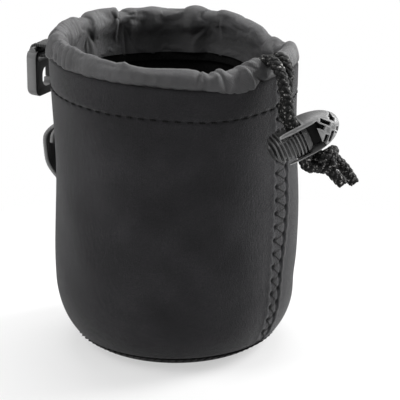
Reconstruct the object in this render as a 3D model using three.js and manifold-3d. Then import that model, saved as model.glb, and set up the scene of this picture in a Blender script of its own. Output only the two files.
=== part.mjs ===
// A drawstring lens pouch: a neoprene cup with a nylon drawstring collar, a spring cord lock on the
// two cord ends, a webbing belt loop and a small snap hook. Millimetres, +Z up. The origin is the centre
// of the base on the surface it stands on. The side seam and the cord lock are on the +X side, and the
// belt loop and the hook are on the -X side.
import * as THREE from "three";
import { mergeVertices } from "three/addons/utils/BufferGeometryUtils.js";
import Module from "manifold-3d";

const wasm = await Module();
wasm.setup();

// Driving dimensions

const GAP = 0.3; // clearance between pieces that touch
const ROUND_STEPS = 48; // facets round the pouch

// Neoprene cup
const WALL_RADIUS = 40; // outside, just above the rounded foot
const WALL_FLARE = 0.5; // extra radius at the top edge
const WALL_THICKNESS = 3.5;
const EDGE_HEIGHT = 98; // top edge of the neoprene
const FOOT_HEIGHT = 22; // height of the rounded foot
const FLAT_RADIUS = 25; // flat part of the base
const BASE_SEAM_ANGLE = 0.54; // place of the base seam along the foot's quarter arc, radians
const SEAM_SLIT = 0.4; // butt joint of the side seam
const RIM_LEAN = 1.5; // the mouth stands this much higher on one side
const RIM_LEAN_HEADING = THREE.MathUtils.degToRad(190); // the high side
const RIM_DIP = 4.5; // the mouth sags this much at the back, beside the cord
const RIM_DIP_HEADING = THREE.MathUtils.degToRad(56);
const RIM_DIP_SPREAD = THREE.MathUtils.degToRad(32);

// Sewing thread
const THREAD_RADIUS = 0.35;
const THREAD_SIDES = 5;
const ZIGZAG_WIDTH = 3.2;
const ZIGZAG_PITCH = 4;
const STITCH_DROP = 10.5; // topstitching below the neoprene edge
const SIDE_STITCH_START = 8;
const SIDE_STITCH_END = 84;

// Drawstring and its casing
const CORD_RADIUS = 1.8;
const CORD_SIDES = 8;
const CASING_CLOTH = 0.8; // gathered cloth round the cord
const CASING_SKIRT = 0.6; // skirt inside the neoprene
const SKIRT_DEPTH = 14; // how far the skirt reaches below the edge
const CASING_START = THREE.MathUtils.degToRad(0); // rear mouth of the casing
const CASING_END = THREE.MathUtils.degToRad(340); // front mouth of the casing

// Cord lock, in its own frame: X from the button to the dome, Y up along the strands, Z to the front
const LOCK_HANG = new THREE.Vector3(11.4, -9.3, -17.6); // from the neoprene edge at the side seam
const LOCK_AXIS = new THREE.Vector3(0.626, 0.676, 0.381);
const STRANDS_DOWN = new THREE.Vector3(0.248, 0.291, -0.927);
const LOCK_LENGTH = 24; // button end to dome
const LOCK_WIDTH = 11.5; // along the strands
const LOCK_CORNER = 1.6;
const LOCK_ARM = 1.15; // side arms that guide the button
const LOCK_RAIL = 2.25; // rail on each side of the strand hole
const LOCK_DOME = 6.7; // length of the closed end
const LOCK_DOME_END = 1.7; // end wall of the spring pocket
const BUTTON_TRAVEL = 3.5;
const STRAND_OFFSET = -2.3; // strands sit this far from the middle of the lock
const RIB_PITCH = 1.2;
const RIB_DEPTH = 0.5;
const RIB_COUNT = 9;
const CHEVRON_COUNT = 3;
const CHEVRON_PITCH = 1.9;
const CHEVRON_SLOT = 0.8;
const CHEVRON_DEPTH = 0.7;
const CHEVRON_ANGLE = 0.6;
const SPRING_RADIUS = 2.2;
const SPRING_WIRE = 0.45;
const SPRING_TURNS = 6;
const LOCK_SLIDE = 4; // how far the lock slides up the straight strands

// Knot and cut ends below the lock
const KNOT_SIZE = new THREE.Vector3(12.4, 7.6, 9.6); // along the lock, along the strands, front to back
const KNOT_LUMP = 0.07;
const TAIL_FRONT = new THREE.Vector3(2.6, -4.6, 0.4);
const TAIL_REAR = new THREE.Vector3(4.6, -7.7, 0.6);

// Webbing on the -X side
const WEBBING = 1.2;
const STRAP_WIDTH = 20;
const STRAP_BULGE = 6.3; // outer face from the wall at the fullest point
const STRAP_DROP = 19.5; // fold at the strap's top, below the neoprene edge
const STRAP_SEWN = 8.5; // sewn length at each end
const STRAP_LOOP = 20; // free height between the sewn ends
const STRAP_TAIL = 7; // folded-back end below the upper sewn part
const TAB_WIDTH = 8;
const TAB_SEWN = 9.2; // sewn end of the tab, below the hook's bar
const TACK_STEPS = 9;
const TACK_WIDTH = 2.4;

// Snap hook
const HOOK_REACH = 12; // bar's distance from the wall
const HOOK_BAR_DROP = 5.8; // below the neoprene edge
const HOOK_BAR_RADIUS = 1.75;
const HOOK_THICKNESS = 3.6;
const HOOK_HALF_WIDTH = 6.4;
const HOOK_POST = 1.8;
const HOOK_CROSSBAR = 2.4;
const HOOK_LIMB = 2.8;
const HOOK_OPENING = 7;
const HOOK_EDGE = 0.4;
const GATE_WIDTH = 2.2;
const NOSE_HEIGHT = 1.7;

// Colours
const NEOPRENE = { color: 0x232325, roughness: 0.95 };
const NYLON = { color: 0x55555a, roughness: 0.7 };
const CORD = { color: 0x1b1b1d, roughness: 0.85 };
const THREAD = { color: 0x151517, roughness: 0.8 };
const PLASTIC = { color: 0x2c2d30, roughness: 0.45 };
const TAPE = { color: 0x2a2a2d, roughness: 0.85 };
const STEEL = { color: 0xb8bac0, roughness: 0.3, metalness: 1 };

const group = new THREE.Group();

function addMesh(name, geometry, finish, parent = group) {
  const mesh = new THREE.Mesh(geometry, new THREE.MeshStandardMaterial(finish));
  mesh.name = name;
  parent.add(mesh);
  return mesh;
}

// Solids for joining and cutting

function toSolid(geometry) {
  const bare = geometry.clone();
  bare.deleteAttribute("normal");
  bare.deleteAttribute("uv");
  const merged = mergeVertices(bare, 1e-4);
  return new wasm.Manifold(
    new wasm.Mesh({
      numProp: 3,
      vertProperties: merged.attributes.position.array,
      triVerts: new Uint32Array(merged.index.array),
    }),
  );
}

function toGeometry(solid) {
  const mesh = solid.getMesh();
  const geometry = new THREE.BufferGeometry();
  geometry.setAttribute("position", new THREE.BufferAttribute(mesh.vertProperties, 3));
  geometry.setIndex(new THREE.BufferAttribute(mesh.triVerts, 1));
  return geometry;
}

function boxSolid(low, high) {
  const size = new THREE.Vector3().subVectors(high, low);
  const centre = new THREE.Vector3().addVectors(low, high).multiplyScalar(0.5);
  const box = new THREE.BoxGeometry(size.x, size.y, size.z);
  return toSolid(box.translate(centre.x, centre.y, centre.z));
}

const at = (x, y, z) => new THREE.Vector3(x, y, z);

// Shapes shared by several pieces

// A ring or cup turned about Z from a closed profile of [radius, height] pairs.
function turned(profile) {
  const points = profile.map(([radius, height]) => new THREE.Vector2(radius, height));
  return new THREE.LatheGeometry(points, ROUND_STEPS).rotateX(Math.PI / 2);
}

function circleProfile(radius, height, radial, axial, sides) {
  const points = [];
  for (let i = 0; i <= sides; i++) {
    const turn = ((i % sides) * 2 * Math.PI) / sides;
    points.push([radius + radial * Math.cos(turn), height + axial * Math.sin(turn)]);
  }
  return points;
}

function tube(points, radius, sides, steps) {
  const section = new THREE.Shape();
  for (let i = 0; i < sides; i++) {
    const turn = (i * 2 * Math.PI) / sides;
    const corner = [radius * Math.cos(turn), radius * Math.sin(turn)];
    if (i === 0) section.moveTo(...corner);
    else section.lineTo(...corner);
  }
  section.closePath();
  const extrudePath = new THREE.CatmullRomCurve3(points);
  return new THREE.ExtrudeGeometry(section, { steps, extrudePath, bevelEnabled: false });
}

// A strip of webbing: a path of [x, z] pairs given a thickness, and a width along Y.
function webbing(path, width) {
  const line = path.map(([x, z]) => new THREE.Vector2(x, z));
  const offset = (side) =>
    line.map((point, i) => {
      const before = line[Math.max(i - 1, 0)];
      const after = line[Math.min(i + 1, line.length - 1)];
      const along = new THREE.Vector2().subVectors(after, before).normalize();
      return new THREE.Vector2(-along.y, along.x).multiplyScalar((side * WEBBING) / 2).add(point);
    });
  const shape = new THREE.Shape([...offset(-1), ...offset(1).reverse()]);
  const strip = new THREE.ExtrudeGeometry(shape, { depth: width, bevelEnabled: false });
  return strip.rotateX(Math.PI / 2).translate(0, width / 2, 0);
}

function arc(centreX, centreZ, radius, from, to, steps) {
  const points = [];
  for (let i = 0; i <= steps; i++) {
    const turn = from + ((to - from) * i) / steps;
    points.push([centreX + radius * Math.cos(turn), centreZ + radius * Math.sin(turn)]);
  }
  return points;
}

function smooth(points, steps) {
  const curve = new THREE.SplineCurve(points.map(([x, z]) => new THREE.Vector2(x, z)));
  return curve.getPoints(steps).map((point) => [point.x, point.y]);
}

// The cup's outside and inside along the foot's quarter arc, as [radius, height].
const footOutside = (turn) => [
  FLAT_RADIUS + (WALL_RADIUS - FLAT_RADIUS) * Math.sin(turn),
  FOOT_HEIGHT * (1 - Math.cos(turn)),
];
const footInside = (turn) => [
  FLAT_RADIUS + (WALL_RADIUS - WALL_THICKNESS - FLAT_RADIUS) * Math.sin(turn),
  WALL_THICKNESS + (FOOT_HEIGHT - WALL_THICKNESS) * (1 - Math.cos(turn)),
];

function footArc(side, from, to, steps) {
  const points = [];
  for (let i = 0; i <= steps; i++) points.push(side(from + ((to - from) * i) / steps));
  return points;
}

function wallRadiusAt(height) {
  if (height >= FOOT_HEIGHT) {
    const share = (height - FOOT_HEIGHT) / (EDGE_HEIGHT - FOOT_HEIGHT);
    return WALL_RADIUS + WALL_FLARE * share;
  }
  return footOutside(Math.acos(1 - height / FOOT_HEIGHT))[0];
}

// How far the uneven mouth lifts a point at this heading and height.
function leanAt(heading, height) {
  const share = Math.max(0, (height - FOOT_HEIGHT) / (EDGE_HEIGHT - FOOT_HEIGHT));
  const fromDip = Math.asin(Math.sin((heading - RIM_DIP_HEADING) / 2)) * 2;
  const sag = RIM_DIP * Math.exp(-((fromDip / RIM_DIP_SPREAD) ** 2));
  return share * (RIM_LEAN * Math.cos(heading - RIM_LEAN_HEADING) - sag);
}

function leaning(geometry) {
  const place = geometry.attributes.position;
  for (let i = 0; i < place.count; i++) {
    const heading = Math.atan2(place.getY(i), place.getX(i));
    place.setZ(i, place.getZ(i) + leanAt(heading, place.getZ(i)));
  }
  return geometry;
}

const onRing = (radius, heading, height) =>
  at(radius * Math.cos(heading), radius * Math.sin(heading), height + leanAt(heading, height));

// Neoprene cup

const edgeRadius = WALL_RADIUS + WALL_FLARE;
const seamHalfGap = GAP / (WALL_RADIUS - FLAT_RADIUS + FOOT_HEIGHT);
const wallFoot = BASE_SEAM_ANGLE + seamHalfGap;
const baseRim = BASE_SEAM_ANGLE - seamHalfGap;
const quarter = Math.PI / 2;

function outerWall() {
  const outside = footArc(footOutside, wallFoot, quarter, 6);
  const inside = footArc(footInside, quarter, wallFoot, 6);
  const midHeight = (FOOT_HEIGHT + EDGE_HEIGHT) / 2;
  const profile = [
    ...outside,
    [wallRadiusAt(midHeight), midHeight],
    [edgeRadius, EDGE_HEIGHT],
    [edgeRadius - WALL_THICKNESS, EDGE_HEIGHT],
    [wallRadiusAt(midHeight) - WALL_THICKNESS, midHeight],
    ...inside,
    outside[0],
  ];
  const slit = boxSolid(
    at(FLAT_RADIUS, -SEAM_SLIT / 2, -1),
    at(edgeRadius + 1, SEAM_SLIT / 2, EDGE_HEIGHT + 1),
  );
  return leaning(toGeometry(toSolid(turned(profile)).subtract(slit)));
}

function basePanel() {
  const outside = footArc(footOutside, 0, baseRim, 3);
  const inside = footArc(footInside, baseRim, 0, 3);
  return turned([[0, 0], ...outside, ...inside, [0, WALL_THICKNESS]]);
}

// A ring of thread laid on the outside of the cup.
function threadRing(radius, height) {
  return turned(circleProfile(radius, height, THREAD_RADIUS, THREAD_RADIUS, THREAD_SIDES));
}

function baseSeamThread() {
  const [radius, height] = footOutside(BASE_SEAM_ANGLE);
  const off = GAP + THREAD_RADIUS;
  const slope = Math.atan2(
    (WALL_RADIUS - FLAT_RADIUS) * Math.cos(BASE_SEAM_ANGLE),
    FOOT_HEIGHT * Math.sin(BASE_SEAM_ANGLE),
  );
  return threadRing(radius + off * Math.cos(slope), height - off * Math.sin(slope));
}

function sideSeamThread() {
  const points = [];
  const halfPitch = ZIGZAG_PITCH / 2;
  const strokes = Math.floor((SIDE_STITCH_END - SIDE_STITCH_START) / halfPitch);
  for (let i = 0; i <= strokes; i++) {
    const height = SIDE_STITCH_START + i * halfPitch;
    const radius = wallRadiusAt(height) + GAP + THREAD_RADIUS;
    const side = i % 2 ? 1 : -1;
    points.push(onRing(radius, (side * ZIGZAG_WIDTH) / 2 / radius, height));
  }
  return tube(points, THREAD_RADIUS, THREAD_SIDES, strokes * 3);
}

addMesh("outer_wall", outerWall(), NEOPRENE);
addMesh("base_panel", basePanel(), NEOPRENE);
addMesh("base_seam_thread", baseSeamThread(), THREAD);
addMesh("side_seam_thread", sideSeamThread(), THREAD);

// Collar: a casing round the drawstring on top of the neoprene edge, and a skirt sewn inside the wall

const tunnelRadius = CORD_RADIUS + GAP;
const casingRadius = tunnelRadius + CASING_CLOTH;
const casingRing = edgeRadius - CORD_RADIUS - tunnelRadius / 2;
const casingHeight = EDGE_HEIGHT + GAP + casingRadius;
const skirtOutside = edgeRadius - WALL_FLARE - WALL_THICKNESS - GAP;
const stitchHeight = EDGE_HEIGHT - STITCH_DROP;

function collarCasing() {
  const ring = toSolid(turned(circleProfile(casingRing, casingHeight, casingRadius, casingRadius, 14)));
  const tunnel = toSolid(turned(circleProfile(casingRing, casingHeight, tunnelRadius, tunnelRadius, 10)));
  const skirtLow = EDGE_HEIGHT - SKIRT_DEPTH;
  const skirt = toSolid(
    turned([
      [skirtOutside - CASING_SKIRT, skirtLow],
      [skirtOutside, skirtLow],
      [skirtOutside, casingHeight],
      [skirtOutside - CASING_SKIRT, casingHeight],
      [skirtOutside - CASING_SKIRT, skirtLow],
    ]),
  );
  const mouth = new THREE.Shape();
  mouth.moveTo(0, 0);
  const reach = 2 * edgeRadius;
  mouth.lineTo(reach * Math.cos(CASING_END), reach * Math.sin(CASING_END));
  mouth.lineTo(reach * Math.cos(CASING_START), reach * Math.sin(CASING_START));
  mouth.closePath();
  const depth = 4 * casingRadius;
  const wedge = new THREE.ExtrudeGeometry(mouth, { depth, bevelEnabled: false });
  const notch = toSolid(wedge.translate(0, 0, EDGE_HEIGHT + GAP / 2));
  return leaning(toGeometry(ring.add(skirt).subtract(tunnel).subtract(notch)));
}

function drawstringLoop() {
  const points = [];
  const endGap = GAP / casingRing;
  const steps = 40;
  for (let i = 0; i <= steps; i++) {
    const share = i / steps;
    const heading = CASING_START + endGap + share * (CASING_END - CASING_START - 2 * endGap);
    points.push(onRing(casingRing, heading, casingHeight));
  }
  return tube(points, CORD_RADIUS, CORD_SIDES, 60);
}

addMesh("collar_casing", collarCasing(), NYLON);
const stitchRadius = wallRadiusAt(stitchHeight) + GAP + THREAD_RADIUS;
addMesh("collar_stitch_thread", leaning(threadRing(stitchRadius, stitchHeight)), THREAD);
addMesh("drawstring_loop", drawstringLoop(), CORD);

// Cord lock

// A place given from the neoprene's top edge at the side seam.
const byEdge = (x, y, z) => at(edgeRadius + x, y, EDGE_HEIGHT + z);

const lock = new THREE.Group();
const lockX = LOCK_AXIS.clone().normalize();
const lockY = STRANDS_DOWN.clone().negate();
lockY.addScaledVector(lockX, -lockY.dot(lockX)).normalize();
const lockZ = new THREE.Vector3().crossVectors(lockX, lockY);
lock.quaternion.setFromRotationMatrix(new THREE.Matrix4().makeBasis(lockX, lockY, lockZ));
lock.position.copy(byEdge(LOCK_HANG.x, LOCK_HANG.y, LOCK_HANG.z));
lock.updateMatrixWorld(true);
group.add(lock);

const strandSide = CORD_RADIUS + GAP / 2; // each strand's distance from the lock's middle plane
const holeHalfDepth = strandSide + CORD_RADIUS + GAP;
const holeHalfLength = CORD_RADIUS + GAP; // clear space along the lock on each side of the strands
const lockHalfWidth = LOCK_WIDTH / 2;
const lockHalfDepth = holeHalfDepth + LOCK_RAIL;
const armInside = lockHalfWidth - LOCK_ARM;
const lockEnd = LOCK_LENGTH / 2;
const domeStart = lockEnd - LOCK_DOME;
const bodyHole = [STRAND_OFFSET - holeHalfLength, STRAND_OFFSET + holeHalfLength + BUTTON_TRAVEL];
const buttonHole = [STRAND_OFFSET - holeHalfLength - BUTTON_TRAVEL, STRAND_OFFSET + holeHalfLength];
const padEnd = domeStart - GAP - BUTTON_TRAVEL;
const pocketEnd = lockEnd - LOCK_DOME_END;
const tongueHalfDepth = holeHalfDepth - 2 * GAP;
const tongueEnd = domeStart + 2 * GAP;
const springSeat = padEnd + 2 * GAP;
const armStart = bodyHole[0] - LOCK_RAIL;

function roundedOutline(halfX, halfY, corner) {
  const shape = new THREE.Shape();
  shape.moveTo(-halfX + corner, -halfY);
  shape.lineTo(halfX - corner, -halfY);
  shape.absarc(halfX - corner, -halfY + corner, corner, -quarter, 0);
  shape.lineTo(halfX, halfY - corner);
  shape.absarc(halfX - corner, halfY - corner, corner, 0, quarter);
  shape.lineTo(-halfX + corner, halfY);
  shape.absarc(-halfX + corner, halfY - corner, corner, quarter, 2 * quarter);
  shape.lineTo(-halfX, -halfY + corner);
  shape.absarc(-halfX + corner, -halfY + corner, corner, 2 * quarter, 3 * quarter);
  return shape;
}

function lockBody() {
  const section = roundedOutline(lockHalfDepth, lockHalfWidth, LOCK_CORNER);
  const depth = lockEnd - armStart;
  const bar = new THREE.ExtrudeGeometry(section, { depth, bevelEnabled: false, curveSegments: 4 });
  bar.rotateY(quarter).translate(armStart, 0, 0);
  // The closed end is rounded by a domed form round the lock's axis.
  const crown = new THREE.SphereGeometry(1, 28, 20).rotateZ(quarter);
  const crownReach = Math.hypot(lockHalfDepth, lockHalfWidth) * 1.04;
  const crownLength = LOCK_DOME * 1.5;
  crown.scale(crownLength, crownReach, crownReach).translate(lockEnd - crownLength, 0, 0);
  const ball = toSolid(crown);
  const shank = boxSolid(
    at(armStart - 1, -2 * lockHalfWidth, -2 * lockHalfDepth),
    at(lockEnd - crownLength, 2 * lockHalfWidth, 2 * lockHalfDepth),
  );
  let body = toSolid(bar).intersect(ball.add(shank));
  const channel = boxSolid(
    at(armStart - 1, -armInside, -2 * lockHalfDepth),
    at(domeStart, armInside, 2 * lockHalfDepth),
  );
  const pocket = boxSolid(
    at(domeStart - 1, -armInside, -tongueHalfDepth - GAP),
    at(pocketEnd, armInside, tongueHalfDepth + GAP),
  );
  const hole = boxSolid(
    at(bodyHole[0], -2 * lockHalfWidth, -holeHalfDepth),
    at(bodyHole[1], 2 * lockHalfWidth, holeHalfDepth),
  );
  body = body.subtract(channel).subtract(pocket).subtract(hole);
  // Grip slots slant away from a ridge along the middle of each broad face.
  for (const face of [-1, 1]) {
    for (const side of [-1, 1]) {
      for (let i = 0; i < CHEVRON_COUNT; i++) {
        const slot = new THREE.BoxGeometry(CHEVRON_SLOT, lockHalfWidth, 2 * CHEVRON_DEPTH);
        slot.translate(0, side * (lockHalfWidth / 2 + CHEVRON_SLOT), 0);
        slot.rotateZ(side * CHEVRON_ANGLE);
        const place = domeStart + CHEVRON_PITCH * (i + 0.7);
        body = body.subtract(toSolid(slot.translate(place, 0, face * lockHalfDepth)));
      }
    }
  }
  return toGeometry(body);
}

function lockButton() {
  const halfWidth = armInside - GAP;
  const halfDepth = lockHalfDepth - RIB_DEPTH;
  const length = padEnd + lockEnd;
  const outline = roundedOutline(length / 2, halfWidth, halfWidth * 0.55);
  const block = new THREE.ExtrudeGeometry(outline, {
    depth: 2 * halfDepth,
    bevelEnabled: false,
    curveSegments: 4,
  });
  block.translate(padEnd - length / 2, 0, -halfDepth);
  const tongue = boxSolid(
    at(padEnd - length / 3, -halfWidth, -tongueHalfDepth),
    at(tongueEnd, halfWidth, tongueHalfDepth),
  );
  const hole = boxSolid(
    at(buttonHole[0], -2 * halfWidth, -holeHalfDepth),
    at(buttonHole[1], 2 * halfWidth, holeHalfDepth),
  );
  const boreRadius = SPRING_RADIUS + SPRING_WIRE / 2 + GAP;
  const boreDepth = tongueEnd - springSeat;
  const bore = new THREE.CylinderGeometry(boreRadius, boreRadius, 2 * boreDepth, 16);
  const spring = toSolid(bore.rotateZ(quarter).translate(tongueEnd, 0, 0));
  let button = toSolid(block).add(tongue).subtract(hole).subtract(spring);
  for (const face of [-1, 1]) {
    for (let i = 0; i < RIB_COUNT; i++) {
      const place = -lockEnd + RIB_PITCH * (i + 1.2);
      const groove = new THREE.BoxGeometry(RIB_PITCH / 2, 4 * halfWidth, 2 * RIB_DEPTH);
      button = button.subtract(toSolid(groove.translate(place, 0, face * halfDepth)));
    }
  }
  return toGeometry(button);
}

function lockSpring() {
  const from = springSeat + GAP + SPRING_WIRE / 2;
  const to = pocketEnd - GAP - SPRING_WIRE / 2;
  const stepsPerTurn = 8;
  const steps = SPRING_TURNS * stepsPerTurn;
  const points = [];
  for (let i = 0; i <= steps; i++) {
    const turn = (i / stepsPerTurn) * 2 * Math.PI;
    const along = from + ((to - from) * i) / steps;
    points.push(at(along, SPRING_RADIUS * Math.cos(turn), SPRING_RADIUS * Math.sin(turn)));
  }
  return tube(points, SPRING_WIRE / 2, THREAD_SIDES, steps);
}

addMesh("lock_body", lockBody(), PLASTIC, lock);
addMesh("lock_button", lockButton(), PLASTIC, lock);
addMesh("lock_spring", lockSpring(), STEEL, lock);

// Free strands, knot and cut ends

const inLock = (x, y, z) => lock.localToWorld(at(x, y, z));
const straightTop = lockHalfWidth + LOCK_SLIDE + GAP;
const knotTop = -lockHalfWidth - GAP;
const knotCentre = at(0, knotTop - KNOT_SIZE.y / 2, 0);
const straightRun = (side) => [
  inLock(STRAND_OFFSET, straightTop, side * strandSide),
  inLock(STRAND_OFFSET, straightTop / 2, side * strandSide),
  inLock(STRAND_OFFSET, 0, side * strandSide),
  inLock(STRAND_OFFSET, knotTop / 2, side * strandSide),
  inLock(STRAND_OFFSET, knotTop, side * strandSide),
];

// Each strand leaves its casing mouth along the ring, then turns outwards and drops to the lock.
const mouthStep = CORD_RADIUS / casingRing;
const frontRoute = [
  onRing(casingRing, CASING_END, casingHeight),
  onRing(casingRing, CASING_END + mouthStep, casingHeight),
  byEdge(-3.3, -9.6, 2.2),
  byEdge(-1.2, -8.8, 2.5),
  byEdge(1.3, -9.7, 2.3),
  byEdge(4.2, -11.5, 1.0),
  byEdge(6.5, -13.3, -2.0),
  byEdge(8.1, -14.0, -6.0),
  ...straightRun(1),
];
const rearRoute = [
  onRing(casingRing, CASING_START, casingHeight),
  onRing(casingRing, CASING_START - mouthStep, casingHeight),
  byEdge(-2.2, -3.4, 2.9),
  byEdge(-0.2, -4.4, 4.0),
  byEdge(2.2, -5.4, 3.7),
  byEdge(4.3, -6.9, 1.6),
  byEdge(5.3, -9.2, -2.4),
  byEdge(5.9, -10.7, -6.5),
  ...straightRun(-1),
];

addMesh("strand_front", tube(frontRoute, CORD_RADIUS, CORD_SIDES, 26), CORD);
addMesh("strand_rear", tube(rearRoute, CORD_RADIUS, CORD_SIDES, 26), CORD);

// The overhand knot is drawn up tight, so its turns read as rounded lumps.
function stopperKnot() {
  const knot = new THREE.SphereGeometry(0.5, 22, 14);
  const place = knot.attributes.position;
  for (let i = 0; i < place.count; i++) {
    const point = new THREE.Vector3().fromBufferAttribute(place, i);
    const wave = Math.sin(9 * point.x + 7 * point.y) * Math.cos(8 * point.z);
    point.multiplyScalar(1 - KNOT_LUMP + KNOT_LUMP * wave);
    place.setXYZ(i, point.x * KNOT_SIZE.x, point.y * KNOT_SIZE.y, point.z * KNOT_SIZE.z);
  }
  return knot.translate(knotCentre.x, knotCentre.y, knotCentre.z);
}

// A cut end runs straight from a place on the knot, given as a share of the knot's size.
function cutEnd(share, run) {
  const start = share.clone().multiply(KNOT_SIZE).add(knotCentre);
  const points = [0, 0.5, 1].map((part) => start.clone().addScaledVector(run, part));
  return tube(points, CORD_RADIUS, CORD_SIDES, 3);
}

addMesh("stopper_knot", stopperKnot(), CORD, lock);
addMesh("tail_front", cutEnd(at(0.16, -0.53, 0.2), TAIL_FRONT), CORD, lock);
addMesh("tail_rear", cutEnd(at(0.33, -0.42, -0.2), TAIL_REAR), CORD, lock);

// Belt loop: one webbing strip, its upper end folded back inside the loop

const strapTop = EDGE_HEIGHT - STRAP_DROP;
const strapUpper = strapTop - STRAP_SEWN;
const strapLower = strapUpper - STRAP_LOOP;
const strapEnd = strapLower - STRAP_SEWN;
const tailEnd = strapUpper - STRAP_TAIL;
const strapWall = -(wallRadiusAt(strapUpper) + GAP + WEBBING / 2);
const strapOuter = strapWall - WEBBING - 2 * GAP;
const strapFull = -(wallRadiusAt(strapUpper) + STRAP_BULGE - WEBBING / 2);
const strapFold = (strapWall - strapOuter) / 2;

function beltStrap() {
  const tail = [
    [strapWall - 2.1, tailEnd],
    [strapWall - 1.6, tailEnd + 3.4],
    [strapWall, strapUpper],
  ];
  const path = [
    ...smooth(tail, 5),
    [strapWall, strapTop - 1],
    ...arc((strapWall + strapOuter) / 2, strapTop, strapFold, 0, Math.PI, 6),
    ...smooth(
      [
        [strapOuter, strapTop - 1],
        [strapOuter, strapUpper],
        [strapFull + 1.4, strapUpper - 2.4],
        [strapFull, strapUpper - 5.6],
        [strapFull + 0.1, strapUpper - 9.6],
        [strapFull + 0.7, strapLower + 6.4],
        [strapFull + 2.4, strapLower + 3],
        [strapWall - 0.4, strapLower],
        [strapWall, strapLower - 2],
      ],
      22,
    ),
    [strapWall, strapEnd],
  ];
  return webbing(path, STRAP_WIDTH);
}

// A bar tack: a short zigzag of thread across a strip of webbing, on the face at x.
function barTack(x, height, width) {
  const points = [];
  for (let i = 0; i <= TACK_STEPS; i++) {
    const along = -width / 2 + (width * i) / TACK_STEPS;
    const side = i % 2 ? 1 : -1;
    points.push(at(x, along, height + (side * TACK_WIDTH) / 2));
  }
  return tube(points, THREAD_RADIUS, THREAD_SIDES, TACK_STEPS * 3);
}

const tackOff = WEBBING / 2 + GAP + THREAD_RADIUS;
const tackInset = 4 * THREAD_RADIUS;
addMesh("belt_strap", beltStrap(), TAPE);
const upperTackHeight = (strapTop + strapUpper) / 2;
const lowerTackHeight = (strapEnd + strapLower) / 2 - 1;
addMesh("strap_tack_upper", barTack(strapOuter - tackOff, upperTackHeight, STRAP_WIDTH - tackInset), THREAD);
addMesh("strap_tack_lower", barTack(strapWall - tackOff, lowerTackHeight, STRAP_WIDTH - tackInset), THREAD);

// Snap hook on its folded tab

const barHeight = EDGE_HEIGHT - HOOK_BAR_DROP;
const tabEnd = barHeight - TAB_SEWN;
const barX = -(wallRadiusAt(barHeight) + HOOK_REACH);
const tabTurn = HOOK_BAR_RADIUS + GAP + WEBBING / 2;
const tabWall = -(stitchRadius + THREAD_RADIUS + GAP + WEBBING / 2);
const tabOuter = tabWall - WEBBING - GAP;

function hookTab() {
  const path = [
    [tabWall, tabEnd],
    ...smooth(
      [
        [tabWall, barHeight - 1.5],
        [tabWall - 0.5, barHeight + 1.2],
        [tabWall - 2.2, barHeight + 2.8],
        [(tabWall + barX) / 2, barHeight + tabTurn + 0.7],
        [barX, barHeight + tabTurn],
      ],
      14,
    ),
    ...arc(barX, barHeight, tabTurn, quarter, 3 * quarter, 10).slice(1, -1),
    ...smooth(
      [
        [barX, barHeight - tabTurn],
        [(tabOuter + barX) / 2, barHeight - 1.2],
        [tabOuter - 2, barHeight - 0.6],
        [tabOuter - 0.3, barHeight - 2.6],
        [tabOuter, barHeight - 4.6],
      ],
      14,
    ),
    [tabOuter, tabEnd],
  ];
  return webbing(path, TAB_WIDTH);
}

const crossbarTop = -(tabTurn + WEBBING / 2 + GAP);
const crossbarLow = crossbarTop - HOOK_CROSSBAR;
const openingLow = crossbarLow - HOOK_OPENING;
const hookLow = openingLow - HOOK_LIMB;
const limbInside = HOOK_HALF_WIDTH - HOOK_LIMB;
const postInside = HOOK_HALF_WIDTH - HOOK_POST;
const noseTop = openingLow + NOSE_HEIGHT;

// Outlines of the hook lie in the Y and Z directions and are extruded along X, evenly about the bar.
function hookPlate(shape, thickness) {
  const plate = new THREE.ExtrudeGeometry(shape, {
    depth: thickness - 2 * HOOK_EDGE,
    bevelThickness: HOOK_EDGE,
    bevelSize: HOOK_EDGE,
    bevelOffset: -HOOK_EDGE,
    bevelSegments: 1,
    curveSegments: 6,
  });
  plate.translate(0, 0, -thickness / 2 + HOOK_EDGE);
  const turn = new THREE.Matrix4().makeBasis(at(0, 1, 0), at(0, 0, 1), at(1, 0, 0));
  return plate.applyMatrix4(turn).translate(barX, 0, barHeight);
}

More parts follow.
